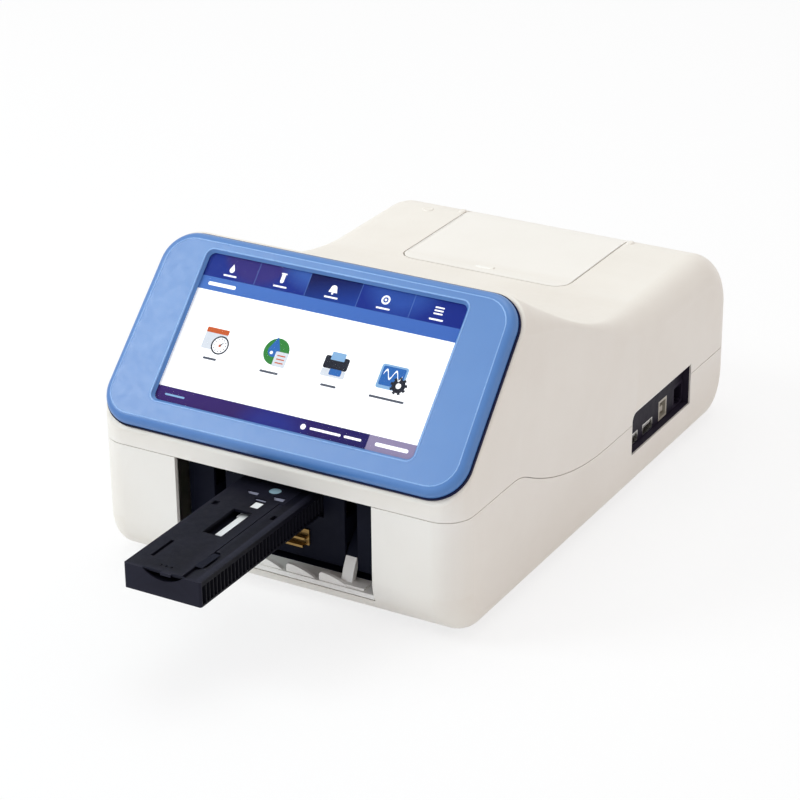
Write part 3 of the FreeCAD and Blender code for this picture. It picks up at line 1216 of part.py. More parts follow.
node(cut(rod("x", "roll_radius", ("-roll_width / 2", "roll_width / 2"), ROLL_AT),
         rod("x", "spindle_radius + fit_gap", ("-roll_width", "roll_width"), ROLL_AT)), "paper_roll")

# ---- checks and export --------------------------------------------------------------------

doc.recompute()
faults = [f"{thing.Name}: {', '.join(thing.State)}" for thing in doc.Objects
          if {"Invalid", "Error"} & set(thing.State)]
faults += [f"{thing.Label}: empty or unsound shape" for thing in nodes
           if thing.Shape.isNull() or not thing.Shape.isValid()]
if faults:
    raise RuntimeError("; ".join(faults))
os.makedirs("parts", exist_ok=True)
for thing in nodes:
    thing.Shape.exportStep(f"parts/{thing.Label}.step")
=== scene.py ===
import bpy
import math
from mathutils import Matrix, Vector


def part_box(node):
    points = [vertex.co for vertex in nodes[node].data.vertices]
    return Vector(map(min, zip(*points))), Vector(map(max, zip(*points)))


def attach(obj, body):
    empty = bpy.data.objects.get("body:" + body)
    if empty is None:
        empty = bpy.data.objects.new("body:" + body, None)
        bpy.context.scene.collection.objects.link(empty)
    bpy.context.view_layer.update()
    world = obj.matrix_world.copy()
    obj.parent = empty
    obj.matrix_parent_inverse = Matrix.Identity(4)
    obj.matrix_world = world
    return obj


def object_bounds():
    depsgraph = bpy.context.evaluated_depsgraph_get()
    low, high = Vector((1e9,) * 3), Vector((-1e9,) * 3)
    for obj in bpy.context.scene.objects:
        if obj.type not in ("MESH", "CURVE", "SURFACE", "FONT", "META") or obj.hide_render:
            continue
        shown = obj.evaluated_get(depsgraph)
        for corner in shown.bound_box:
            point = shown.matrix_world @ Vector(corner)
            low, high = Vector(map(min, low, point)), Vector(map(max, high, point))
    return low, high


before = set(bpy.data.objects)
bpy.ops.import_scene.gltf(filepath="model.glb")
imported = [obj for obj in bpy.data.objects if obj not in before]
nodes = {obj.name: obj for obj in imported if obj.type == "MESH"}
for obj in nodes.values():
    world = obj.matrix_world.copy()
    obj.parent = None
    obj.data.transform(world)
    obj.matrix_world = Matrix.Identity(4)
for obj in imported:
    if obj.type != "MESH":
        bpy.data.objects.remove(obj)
cad_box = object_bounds()
MM = 0.001
PER_METRE = 1000.0


# ---- shader helpers ---------------------------------------------------------------------

def srgb(red, green, blue):
    """An 8-bit display colour as linear light, with full alpha."""
    def channel(value):
        value /= 255
        return value / 12.92 if value <= 0.04045 else ((value + 0.055) / 1.055) ** 2.4
    return (channel(red), channel(green), channel(blue), 1.0)


class Wire:
    """An output socket that takes part in sums."""

    def __init__(self, shader, socket):
        self.shader, self.socket = shader, socket

    def _math(self, operation, other):
        return self.shader.node("ShaderNodeMath", self, other, operation=operation)

    def __add__(self, other):
        return self._math("ADD", other)

    def __sub__(self, other):
        return self._math("SUBTRACT", other)

    def __mul__(self, other):
        return self._math("MULTIPLY", other)

    def __pow__(self, other):
        return self._math("POWER", other)

    def __gt__(self, other):
        return self._math("GREATER_THAN", other)

    def __lt__(self, other):
        return self._math("LESS_THAN", other)

    def high(self, other):
        return self._math("MAXIMUM", other)


class Shader:
    """One material and the nodes made for it."""

    def __init__(self, name, **plain):
        self.material = bpy.data.materials.new(name)
        self.material.use_nodes = True
        self.tree = self.material.node_tree
        self.surface = self.tree.nodes["Principled BSDF"]
        for socket, value in plain.items():
            label = socket.replace("_", " ").title().replace("Ior", "IOR")
            self.surface.inputs[label].default_value = value

    def node(self, kind, *inputs, out=0, named=None, **settings):
        """A new node fed in order and by name; one of its outputs comes back."""
        made = self.tree.nodes.new(kind)
        for setting, value in settings.items():
            setattr(made, setting, value)
        for index, value in [*enumerate(inputs), *(named or {}).items()]:
            self.feed(made.inputs[index], value)
        return Wire(self, made.outputs[out])

    def feed(self, socket, value):
        """Links a wire to the socket, or sets the socket's plain value."""
        if isinstance(value, Wire):
            self.tree.links.new(value.socket, socket)
        else:
            socket.default_value = value

    def place(self):
        """The point's place in the machine, in metres."""
        return self.node("ShaderNodeTexCoord", out="Object")

    def axes(self):
        """The point's three coordinates."""
        parts = self.node("ShaderNodeSeparateXYZ", self.place())
        return [Wire(self, parts.socket.node.outputs[k]) for k in range(3)]

    def noise(self, scale, detail=3.0, rough=0.5, stretch=None):
        """Soft noise, its cells per metre set by the scale."""
        spot = self.place()
        if stretch:
            spot = self.node("ShaderNodeVectorMath", spot, stretch, operation="MULTIPLY")
        return self.node("ShaderNodeTexNoise", out="Fac", named={
            "Vector": spot, "Scale": scale, "Detail": detail, "Roughness": rough})

    def ramp(self, factor, low, high, start=0.0, end=1.0):
        """The factor's span low to high, eased to start to end."""
        return self.node("ShaderNodeMapRange", factor, low, high, start, end)

    def mix(self, factor, first, second):
        """The first colour at factor 0 and the second at 1."""
        made = self.tree.nodes.new("ShaderNodeMix")
        made.data_type = "RGBA"
        for index, value in ((0, factor), (6, first), (7, second)):
            self.feed(made.inputs[index], value)
        return Wire(self, made.outputs[2])

    def bump(self, height, distance, strength=1.0):
        """A normal bent by a height, over a distance in metres."""
        return self.node("ShaderNodeBump", out="Normal", named={
            "Height": height, "Distance": distance, "Strength": strength})

    def use(self, **wires):
        """Feeds the surface's sockets and gives back the material."""
        for socket, value in wires.items():
            self.feed(self.surface.inputs[socket.replace("_", " ")], value)
        return self.material


# plastics darker than this get the weaker shine
DARK_LIMIT, DARK_SHINE, PLAIN_SHINE = 0.06, 0.08, 0.5


def edge_highlight_mask(shader):
    """A painted edge highlight: stronger on outer edges, from the bend of the surface."""
    point = shader.node("ShaderNodeNewGeometry", out="Pointiness")
    return shader.ramp(point, 0.52, 0.62)


def moulded(name, colour, shade, roughness=0.42, grain=1400.0, depth=0.00006, coat=0.0, edge=None):
    """Injection-moulded plastic: fine texture, faint flow marks and, if asked, paler edges painted
    as a highlight.
    """
    dark = max(colour[:3]) < DARK_LIMIT
    shader = Shader(name, coat_roughness=0.2, coat_weight=coat,
                    specular_ior_level=DARK_SHINE if dark else PLAIN_SHINE)
    flow = shader.noise(14.0, 4, 0.55)
    fine = shader.noise(grain, 2, 0.6)
    speck = shader.noise(230.0, 3, 0.6)
    tint = shader.mix(shader.ramp(flow, 0.35, 0.7), colour, shade)
    # paler outer edges: a painted highlight, strongest where the surface bends most
    if edge:
        tint = shader.mix(edge_highlight_mask(shader) * 0.5, tint, edge)
    gloss = shader.ramp(speck, 0.3, 0.75, roughness - 0.05, roughness + 0.07)
    return shader.use(Base_Color=tint, Roughness=gloss, Normal=shader.bump(fine, depth, 0.7))


def metal(name, colour, dull, roughness=0.32, along=(1.0, 1.0, 14.0), tarnish=0.5):
    """Rolled or drawn metal with a direction to its fine marks."""
    shader = Shader(name, metallic=1.0)
    marks = shader.noise(420.0, 4, 0.65, stretch=along)
    cloud = shader.noise(60.0, 4, 0.6)
    tint = shader.mix(shader.ramp(cloud, 0.4, 0.75) * tarnish, colour, dull)
    gloss = shader.ramp(marks, 0.25, 0.8, roughness - 0.08, roughness + 0.16)
    return shader.use(Base_Color=tint, Roughness=gloss, Normal=shader.bump(marks, 0.00003, 0.6))


def board_coat(name):
    """Green solder mask with copper runs under it."""
    shader = Shader(name)
    runs = shader.node("ShaderNodeTexBrick", named={
        "Vector": shader.place(), "Scale": 190.0, "Mortar Size": 0.06, "Color1": (0, 0, 0, 1),
        "Color2": (0.35, 0.35, 0.35, 1), "Mortar": (1, 1, 1, 1)}, out="Color")
    cloud = shader.noise(90.0)
    mask = shader.mix(shader.ramp(cloud, 0.4, 0.6) * 0.6, srgb(10, 74, 42), srgb(18, 92, 54))
    tint = shader.mix(runs * 0.35, mask, srgb(40, 118, 76))
    return shader.use(Base_Color=tint, Roughness=shader.ramp(cloud, 0.3, 0.7, 0.3, 0.45),
                      Normal=shader.bump(runs, 0.00005))


# an edge colour below paints a highlight on a part's outer edges, through the bend of the surface
MATERIALS = {
    "casing": moulded("casing", srgb(236, 231, 222), srgb(230, 224, 214), 0.4,
                      edge=srgb(243, 241, 236)),
    "door": moulded("door", srgb(240, 238, 233), srgb(235, 232, 226), 0.36, depth=0.00003),
    "bezel": moulded("bezel", srgb(77, 126, 188), srgb(71, 119, 182), 0.34,
                     grain=2200.0, depth=0.00002, coat=0.12),
    # a paler, glossier blue for beads that paint highlights on the bezel
    "window_highlight": moulded("window_highlight", srgb(128, 172, 226), srgb(118, 162, 218), 0.3,
                           grain=2200.0, depth=0.00002, coat=0.5),
    "gasket": moulded("gasket", srgb(16, 22, 66), srgb(10, 14, 44), 0.5),
    "dark": moulded("dark", srgb(15, 15, 25), srgb(12, 12, 20), 0.5,
                    grain=1600.0, depth=0.00008, edge=srgb(46, 46, 60)),
    "bay": moulded("bay", srgb(17, 19, 33), srgb(13, 15, 27), 0.6),
    "sockets": moulded("sockets", srgb(34, 29, 42), srgb(24, 21, 32), 0.45, edge=srgb(60, 54, 70)),
    "white": moulded("white", srgb(240, 241, 240), srgb(228, 230, 230), 0.4),
    "pads": moulded("pads", srgb(150, 152, 170), srgb(134, 136, 156), 0.35, coat=0.3),
    "ivory": moulded("ivory", srgb(186, 180, 166), srgb(166, 160, 148), 0.35),
    "rubber": moulded("rubber", srgb(30, 30, 32), srgb(22, 22, 24), 0.75,
                      grain=800.0, depth=0.0001),
    "steel": metal("steel", srgb(186, 188, 190), srgb(140, 142, 146)),
    "shell": metal("shell", srgb(226, 224, 220), srgb(190, 188, 184), 0.22, tarnish=0.3),
    "can": metal("can", srgb(92, 94, 98), srgb(64, 66, 70), 0.4),
    "brass": metal("brass", srgb(150, 122, 76), srgb(84, 66, 40), 0.3,
                   along=(14.0, 1.0, 1.0), tarnish=0.9),
    "gold": metal("gold", srgb(214, 180, 96), srgb(170, 140, 70), 0.25),
    "board": board_coat("board"),
    "paper": moulded("paper", srgb(238, 236, 228), srgb(230, 228, 218), 0.8,
                     grain=3000.0, depth=0.00003),
}
FINISHES = {
    "casing": "lower_housing upper_housing printer_lid",
    "door": "front_door",
    "bezel": "display_bezel",
    "gasket": "bezel_gasket",
    "dark": "tray_base tray_cover tray_rack tray_guide tray_sensor optical_head led_module "
            "print_head paper_bin display_module",
    "bay": "bay_liner door_links",
    "sockets": "port_panel network_port power_switch switch_rocker dc_jack",
    "white": "reference_strip drive_gear motor_gear platen_gear feed_gear "
             "display_spacers board_standoffs paper_spindle",
    "pads": "calibration_pads",
    "ivory": "usb_b_port",
    "rubber": "rubber_feet platen_roller",
    "steel": "chassis_plate motor_bracket optics_bridge printer_frame idler_axle lid_hinge_pins "
             "door_hinge_pins door_springs chassis_screws housing_screws",
    "shell": "usb_ports",
    "can": "tray_motor printer_motor",
    "brass": "door_catch",
    "gold": "network_contacts",
    "board": "display_board main_board power_board detector_board",
    "paper": "paper_roll",
}


def finish_node(name, material):
    """Gives a node of the CAD model one material all over."""
    slots = nodes[name].material_slots
    for slot in slots:
        slot.material = material
    if not slots:
        nodes[name].data.materials.append(material)


for finish, names in FINISHES.items():
    for name in names.split():
        finish_node(name, MATERIALS[finish])


def lens_glass(name, colour, tint, see_through, shine=PLAIN_SHINE):
    """Smooth glass with a faint cloud of a second tint."""
    shader = Shader(name, ior=1.5, alpha=see_through, specular_ior_level=shine)
    cloud = shader.noise(160.0)
    return shader.use(Base_Color=shader.mix(shader.ramp(cloud, 0.35, 0.7), colour, tint),
                      Roughness=shader.ramp(cloud, 0.3, 0.7, 0.06, 0.12))


GLASSES = {
    "touch_glass": (srgb(30, 34, 44), srgb(40, 44, 56), 0.06, 0.12),
    "tray_lens": (srgb(160, 206, 224), srgb(190, 222, 236), 0.9),
    "objective_lens": (srgb(120, 150, 190), srgb(150, 180, 210), 0.7),
}
for name, look in GLASSES.items():
    finish_node(name, lens_glass(name, *look))


# ---- lit screen -------------------------------------------------------------------------

# the glass plane: its slope, the place of its lower edge and the window's size, in millimetres
TILT = math.radians(45.8)
GLASS_Y, WINDOW_FLOOR = -110.5, 96.5
SCREEN_HALF, SCREEN_TALL = 77.05, 85.0
TABS = 5
TAB = 2 * SCREEN_HALF / TABS


def glass_point(across, along, rise):
    """A point over the screen's lower edge, in millimetres of the glass plane, as metres."""
    return Vector((across, GLASS_Y + along * math.cos(TILT) - rise * math.sin(TILT),
                   WINDOW_FLOOR + along * math.sin(TILT) + rise * math.cos(TILT))) * MM


def piece(name, mesh, body, slot, *materials):
    """A finished visual piece that rides on a body of the machine."""
    thing = bpy.data.objects.new(name, mesh)
    bpy.context.collection.objects.link(thing)
    for material in materials:
        mesh.materials.append(material)
    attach(thing, body)


class Sheet:
    """Thin flat shapes, all in one mesh, laid on a plane."""

    def __init__(self, to_world):
        self.to_world, self.points, self.faces, self.inks = to_world, [], [], []

    def add(self, outline, low, high, ink=0):
        """A closed flat shape with its outline anticlockwise, between two heights."""
        start, count = len(self.points), len(outline)
        for rise in (low, high):
            self.points += [self.to_world(u, v, rise) for u, v in outline]
        self.faces.append([start + k for k in reversed(range(count))])
        self.faces.append([start + count + k for k in range(count)])
        for k in range(count):
            after = (k + 1) % count
            self.faces.append([start + k, start + after, start + count + after, start + count + k])
        self.inks += [ink] * (count + 2)

    def ring(self, outer, inner, low, high, ink=0):
        """A flat ring between two outlines of as many points each."""
        start, count = len(self.points), len(outer)
        for outline, rise in ((outer, low), (outer, high), (inner, high), (inner, low)):
            self.points += [self.to_world(u, v, rise) for u, v in outline]
        for band in range(4):
            for k in range(count):
                after = (k + 1) % count
                here, there = start + band * count, start + (band + 1) % 4 * count
                self.faces.append([here + k, here + after, there + after, there + k])
                self.inks.append(ink)

    def mesh(self, name):
        """All the shapes as one mesh, each with the index of its ink."""
        made = bpy.data.meshes.new(name)
        made.from_pydata(self.points, [], self.faces)
        for face, ink in zip(made.polygons, self.inks):
            face.material_index = ink
        made.validate()
        return made


def disc(u, v, radius, count=28, start=0.0, end=360.0):
    """Points round a circle or along an arc, anticlockwise, with the angles in degrees."""
    steps = count if end - start == 360.0 else count - 1
    return [(u + radius * math.cos(math.radians(start + (end - start) * k / steps)),
             v + radius * math.sin(math.radians(start + (end - start) * k / steps)))
            for k in range(count)]


def plate(u, v, wide, tall, corner=0.4):
    """A rectangle with rounded corners about its middle."""
    points = []
    for turn, (side, end) in enumerate(((1, 1), (-1, 1), (-1, -1), (1, -1))):
        spot = (u + side * (wide / 2 - corner), v + end * (tall / 2 - corner))
        points += disc(*spot, corner, 6, turn * 90.0, turn * 90.0 + 90.0)
    return points


def drop(u, v, size):
    """A falling drop: a round foot drawn up to a point."""
    return [*disc(u, v, size, 20, 150.0, 390.0), (u, v + size * 2.3)]


def cog(u, v, radius, count=9, root=0.8):
    """A wheel with square teeth that stand on a share of its radius."""
    turns = [(math.radians(360 * (k + part) / count), radius * share)
             for k in range(count) for part, share in ((0, 1), (0.5, 1), (0.5, root), (1, root))]
    return [(u + reach * math.cos(turn), v + reach * math.sin(turn)) for turn, reach in turns]


class Tree:
    """A geometry node tree with named sizes, worked out once into a plain mesh."""

    def __init__(self, name):
        self.name = name
        self.group = bpy.data.node_groups.new(name, "GeometryNodeTree")
        face = self.group.interface
        face.new_socket("Geometry", in_out="INPUT", socket_type="NodeSocketGeometry")
        face.new_socket("Geometry", in_out="OUTPUT", socket_type="NodeSocketGeometry")
        self.sizes = {}

    def size(self, name, value, kind="Float"):
        """A named input of the tree, and the value that it gets."""
        made = self.group.interface.new_socket(name, in_out="INPUT",
                                               socket_type="NodeSocket" + kind)
        self.sizes[made.identifier] = value
        return self.start(name)

    def start(self, name="Geometry"):
        """One of the tree's inputs, the base mesh unless named."""
        return self.group.nodes.new("NodeGroupInput").outputs[name]

    def node(self, kind, out=0, settings=(), **feeds):
        """A new node with its inputs fed by name; one of its outputs comes back."""
        made = self.group.nodes.new(kind)
        for setting, value in dict(settings).items():
            setattr(made, setting, value)
        for name, value in feeds.items():
            socket = made.inputs[name.replace("_", " ")]
            if isinstance(value, bpy.types.NodeSocket):
                self.group.links.new(value, socket)
            else:
                socket.default_value = value
        return made.outputs[out]

    def mesh(self, shape, material, base=None):
        """The tree's result as a plain mesh, from the shape socket and an optional base mesh."""
        whole = self.node("GeometryNodeRealizeInstances", Geometry=shape)
        coated = self.node("GeometryNodeSetMaterial", Geometry=whole,
                           Material=self.size("Material", material, "Material"))
        self.group.links.new(coated, self.group.nodes.new("NodeGroupOutput").inputs[0])
        carrier = bpy.data.objects.new(self.name, base or bpy.data.meshes.new(self.name))
        bpy.context.collection.objects.link(carrier)
        modifier = carrier.modifiers.new(self.name, "NODES")
        modifier.node_group = self.group
        for identifier, value in self.sizes.items():
            modifier[identifier] = value
        graph = bpy.context.evaluated_depsgraph_get()
        made = bpy.data.meshes.new_from_object(carrier.evaluated_get(graph))
        carrier.modifiers.remove(modifier)
        bpy.data.objects.remove(carrier)
        return made


def bead(name, points, closed, radius, material, body, slot):
    """A fine round bead that follows a path of points, in metres."""
    path = bpy.data.meshes.new(name + "_path")
    last = len(points) if closed else len(points) - 1
    path.from_pydata(points, [(k, (k + 1) % len(points)) for k in range(last)], [])
    tree = Tree(name)
    line = tree.node("GeometryNodeMeshToCurve", Mesh=tree.start())
    ring = tree.node("GeometryNodeCurvePrimitiveCircle", Resolution=tree.size("Sides", 8, "Int"),
                     Radius=tree.size("Thickness", radius * MM))
    tube = tree.node("GeometryNodeCurveToMesh", Curve=line, Profile_Curve=ring, Fill_Caps=True)
    piece(name, tree.mesh(tube, material, path), body, slot)


def dome(name, spots, wide, deep, profile, material, body, slot):
    """Low round bosses on a level top.

    The profile gives (share of the width, height) from the rim in.
    """
    points, faces, count = [], [], 28
    for x, y, z in spots:
        start = len(points)
        for share, height in profile:
            points += [Vector((x + u * share * wide / 2, y + v * share * deep / 2, z + height)) * MM
                       for u, v in disc(0, 0, 1, count)]
        for band in range(len(profile) - 1):
            for k in range(count):
                here, after = start + band * count + k, start + band * count + (k + 1) % count
                faces.append([here, after, after + count, here + count])
        faces.append([start + (len(profile) - 1) * count + k for k in range(count)])
        faces.append([start + k for k in reversed(range(count))])
    made = bpy.data.meshes.new(name)
    made.from_pydata(points, [], faces)
    for face in made.polygons:
        face.use_smooth = len(face.vertices) == 4
    piece(name, made, body, slot, material)


BACKLIGHT, DIM = 0.42, 0.7
PICTURE_SHINE = 0.05
# heights where the rows of the picture end, from the bottom: footer, white field, bar
FOOTER, FIELD, BAR = 8.4, 64.6, 72.2
# where the footer's pale cell begins, and half the width of a seam between two tabs
PALE_CELL, SEAM = 49.5, 0.18


def lit(red, green, blue):
    """A colour as the lit screen shows it, dimmed by what the backlight adds."""
    return (*[DIM * channel for channel in srgb(red, green, blue)[:3]], 1.0)


def picture_shader():
    """The still picture: bands, cells and soft arcs, lit from behind."""
    shader = Shader("picture", roughness=0.5, emission_strength=BACKLIGHT,
                    specular_ior_level=PICTURE_SHINE)
    x, y, z = shader.axes()
    across = x * PER_METRE
    back, up = y * PER_METRE - GLASS_Y, z * PER_METRE - WINDOW_FLOOR
    along = back * math.cos(TILT) + up * math.sin(TILT)
    sweep = shader.ramp(across, -SCREEN_HALF, SCREEN_HALF)

    def arc(middle_across, middle_along, radius, soft):
        """One inside a circle and zero outside it, with a soft edge."""
        reach = ((across - middle_across) ** 2.0 + (along - middle_along) ** 2.0) ** 0.5
        return shader.ramp(reach, radius, radius - soft)

    top = shader.mix(sweep, lit(30, 52, 146), lit(24, 44, 140))
    for circle, strength, colour in (((-48.0, 94.0, 24.0, 5.0), 0.7, lit(66, 48, 122)),
                                     ((-14.0, 98.0, 25.0, 9.0), 0.75, lit(70, 112, 196)),
                                     ((38.0, 94.0, 26.0, 10.0), 0.6, lit(58, 100, 190))):
        top = shader.mix(arc(*circle) * strength, top, colour)
    chosen = (across > -TAB / 2) * (across < TAB / 2)
    top = shader.mix(chosen, top, shader.mix(shader.ramp(along - across * 0.3, 68.0, 86.0),
                                             lit(30, 66, 160), lit(14, 20, 84)))
    for edge in (-1.5, -0.5, 0.5, 1.5):
        seam = (across > edge * TAB - SEAM) * (across < edge * TAB + SEAM)
        top = shader.mix(seam * 0.5, top, lit(110, 150, 220))
    low = shader.mix(sweep, lit(62, 34, 110), lit(22, 20, 92))
    low = shader.mix(arc(-6.0, -9.0, 26.0, 12.0) * 0.7, low, lit(36, 52, 150))
    low = shader.mix(across > PALE_CELL, low, lit(158, 146, 180))
    band = shader.mix(sweep, lit(80, 125, 205), lit(70, 112, 196))
    tint = shader.mix(along > FOOTER, low, srgb(252, 253, 254))
    tint = shader.mix(along > FIELD, tint, band)
    tint = shader.mix(along > BAR, tint, top)
    cells = shader.noise(5200.0, 1, 0.3)
    tint = shader.mix(shader.ramp(cells, 0.3, 0.7) * 0.05, tint, lit(120, 132, 160))
    return shader.use(Base_Color=tint, Emission_Color=tint)


def ink(name, colour):
    """One flat colour of the picture's marks, very slightly uneven."""
    shader = Shader(name, roughness=0.5, emission_strength=BACKLIGHT,
                    specular_ior_level=PICTURE_SHINE)
    cloud = shader.ramp(shader.noise(900.0), 0.35, 0.65)
    tint = shader.mix(cloud * 0.06, colour, lit(128, 134, 150))
    return shader.use(Base_Color=tint, Emission_Color=tint)


INKS = {"white": srgb(250, 251, 253), "grey": lit(92, 96, 108), "orange": lit(214, 100, 48),
        "green": lit(58, 140, 62), "blue": lit(52, 112, 190), "dark": lit(38, 40, 50),
        "tile": lit(232, 238, 246), "sky": lit(146, 190, 232)}
COLOURS = list(INKS)
# the picture's face under the glass, its back, how far it runs under the bezel, and one layer
FACE, BACK, UNDER, LAYER = -0.95, -1.02, 3, 0.04

picture = Sheet(glass_point)
picture.add(plate(0, SCREEN_TALL / 2, 2 * SCREEN_HALF + UNDER, SCREEN_TALL + UNDER, 2), BACK, FACE)
piece("screen_picture", picture.mesh("screen_picture"), "housing", "screen_panel", picture_shader())

marks = Sheet(glass_point)


def mark(outline, colour, level=0):
    """One flat shape of the picture; a higher level lies over a lower one."""
    marks.add(outline, FACE + level * LAYER, FACE + (level + 1) * LAYER, COLOURS.index(colour))


def hoop(u, v, radius, wide, colour, level=0):
    """One flat ring of the picture."""
    marks.ring(disc(u, v, radius, 36), disc(u, v, radius - wide, 36), FACE + level * LAYER,
               FACE + (level + 1) * LAYER, COLOURS.index(colour))


# header: a drop, a vial, a bell, a ring and a stack of bars, each over a short bar
mark(drop(-2 * TAB, 77.8, 1.5), "white")
mark(plate(-TAB, 79.0, 2.2, 5.0, 1.0), "white")
mark(plate(-TAB, 81.7, 3.4, 0.8, 0.3), "white")
mark([*disc(0, 79.4, 1.9, 14, 0.0, 180.0), (-2.6, 77.2), (2.6, 77.2)], "white")
mark(disc(0, 76.6, 0.6, 12), "white")
hoop(TAB, 79.2, 2.5, 1.0, "white")
mark(disc(TAB, 79.2, 0.7, 12), "white")
for step in range(3):
    mark(plate(2 * TAB, 77.6 + 1.7 * step, 5.2, 0.8, 0.3), "white")
for tab in range(-2, 3):
    mark(plate(tab * TAB, 74.4, 8.0, 0.9, 0.4), "white")
mark(plate(-64.0, 68.4, 17.0, 2.0, 0.9), "white")

# body: four pictures, each over a bar; the names give their middles
DIAL, LEAF, CARD, WAVE = -51.7, -18.5, 17.0, 50.0
LABEL_ROW, DIAL_ROW, COG_ROW = 28.0, 36.2, 36.0
for middle, wide in ((DIAL - 3.0, 8.0), (LEAF, 11.0), (CARD, 9.0), (WAVE + 1.0, 20.0)):
    mark(plate(middle, LABEL_ROW, wide, 1.2, 0.5), "grey")
mark(plate(DIAL - 4.0, 39.0, 13.4, 12.0, 0.8), "tile")
mark(plate(DIAL - 4.0, 43.6, 13.4, 2.8, 0.6), "orange", 1)
hoop(DIAL, DIAL_ROW, 5.2, 0.8, "dark", 1)
mark(disc(DIAL, DIAL_ROW, 4.36, 30), "white", 1)
mark([(DIAL - 0.5, 35.9), (DIAL + 0.5, 35.7), (DIAL + 2.4, 38.8)], "dark", 2)
mark(disc(DIAL, 36.0, 0.8, 14), "orange", 2)
mark(disc(LEAF, 39.6, 7.4, 40), "green")
mark(drop(LEAF - 1.6, 39.8, 3.4), "blue", 1)
mark(disc(LEAF - 2.6, 38.6, 0.9, 12), "white", 2)
mark(plate(LEAF + 3.8, 35.8, 7.6, 8.2, 0.6), "tile", 2)
for step in range(3):
    mark(plate(LEAF + 3.8, 33.8 + 2.0 * step, 4.8, 0.6, 0.2), "orange", 3)
mark(plate(CARD, 40.6, 14.0, 7.0, 1.2), "dark")
mark(plate(CARD, 34.9, 14.0, 4.2, 1.0), "tile")
mark(plate(CARD, 44.2, 8.0, 4.4, 0.4), "sky", 1)
mark(plate(CARD + 1.2, 35.6, 7.0, 3.4, 0.8), "blue", 1)
mark(plate(WAVE, 39.6, 15.2, 13.2, 1.4), "sky")
mark(plate(WAVE, 40.0, 13.0, 10.4, 0.8), "blue", 1)
CREST_STEPS, CREST_WIDE = 19, 1.1
crest = [(WAVE - 5.4 + 0.6 * k, 40.4 + 2.4 * math.sin(k * 0.7)) for k in range(CREST_STEPS)]
mark([*crest, *[(u, v + CREST_WIDE) for u, v in reversed(crest)]], "white", 2)
mark(cog(WAVE + 5.0, COG_ROW, 4.8), "dark", 2)
mark(disc(WAVE + 5.0, COG_ROW, 1.5, 16), "white", 3)

# footer: a disc and four short bars
mark(disc(12.0, FOOTER / 2, 1.5, 20), "white")
for middle, wide, tall, corner, colour in ((25.0, 18.0, 1.3, 0.5, "white"),
                                           (41.0, 10.0, 1.3, 0.5, "white"),
                                           (-66.0, 12.0, 1.0, 0.4, "sky"),
                                           (63.5, 19.0, 2.0, 0.9, "white")):
    mark(plate(middle, FOOTER / 2, wide, tall, corner), colour)
ink_coats = [ink("ink_" + colour, INKS[colour]) for colour in COLOURS]
piece("screen_marks", marks.mesh("screen_marks"), "housing", "screen_panel", *ink_coats)


def dial_ticks():
    """Twelve short ticks inside the dial's ring, each turned along its radius."""
    tree = Tree("dial_ticks")
    ring = tree.node("GeometryNodeMeshCircle", Vertices=tree.size("Ticks", 12, "Int"),
                     Radius=tree.size("Ring", 3.5 * MM))
    spoke = tree.node("FunctionNodeAlignRotationToVector", settings={"axis": "X"},
                      Vector=tree.node("GeometryNodeInputPosition"))
    tick = tree.node("GeometryNodeMeshCylinder", Vertices=4, Radius=tree.size("Tick", 0.28 * MM),
                     Depth=0.04 * MM)
    long_tick = tree.node("GeometryNodeTransform", Geometry=tick, Scale=(2.2, 1.0, 1.0))
    ticks = tree.node("GeometryNodeInstanceOnPoints", Points=ring, Instance=long_tick,
                      Rotation=spoke)
    middle = glass_point(DIAL, DIAL_ROW, FACE + 2.5 * LAYER)
    placed = tree.node("GeometryNodeTransform", Geometry=ticks, Translation=middle,
                       Rotation=(TILT, 0, 0))
    return tree.mesh(placed, ink_coats[COLOURS.index("dark")])


piece("dial_ticks", dial_ticks(), "housing", "screen_panel")


# ---- fine edges with painted highlights, painted shade and small marks ------------------

def round_path(wide, tall, corner, place):
    """A rounded rectangle's points, each put in place by a function of its two offsets."""
    return [place(u, v) for u, v in plate(0, 0, wide, tall, corner)]


# how far the bezel's face stands over the glass, and the slope between it and the window
BEZEL_LIP, BEVEL = 2.0, 1.7
WINDOW_CORNER = 4.6
# a paler blue raised bead round the window's bevel: a painted highlight
bead("window_highlight",
     round_path(2 * (SCREEN_HALF + BEVEL), SCREEN_TALL + 2 * BEVEL, WINDOW_CORNER,
                lambda u, v: glass_point(u, v + SCREEN_TALL / 2, BEZEL_LIP - 0.2)),
     closed=True, radius=0.5, material=MATERIALS["window_highlight"], body="housing",
     slot="bezel_plastic")


def bezel_crease_highlight():
    """A painted highlight line where the bezel's face turns into its round edge, wider at the
    bottom.
    """
    low, high, low_half, high_half, corner, steps = -11.4, 90.4, 103.05, 101.05, 14.5, 8
    path = []
    for side, end, start in ((-1, low, 180.0), (1, low, 270.0), (1, high, 0.0), (-1, high, 90.0)):
        half, inward = (low_half, corner) if end == low else (high_half, -corner)
        path += disc(side * (half - corner), end + inward, corner, steps, start, start + 90.0)
    return [glass_point(u, v, BEZEL_LIP - 0.24) for u, v in path]


# a paler bead along the crease: a painted highlight
bead("bezel_crease_highlight", bezel_crease_highlight(), closed=True, radius=0.42,
     material=MATERIALS["window_highlight"], body="housing", slot="bezel_plastic")

LID_LOW, LID_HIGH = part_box("printer_lid")
DECK_TOP, LID_TAIL = 106.0, 181.0
LID_HALF, LID_FRONT = LID_HIGH[0] / MM, LID_LOW[1] / MM
LID_CORNER, LID_INSET = 10.0, 0.6


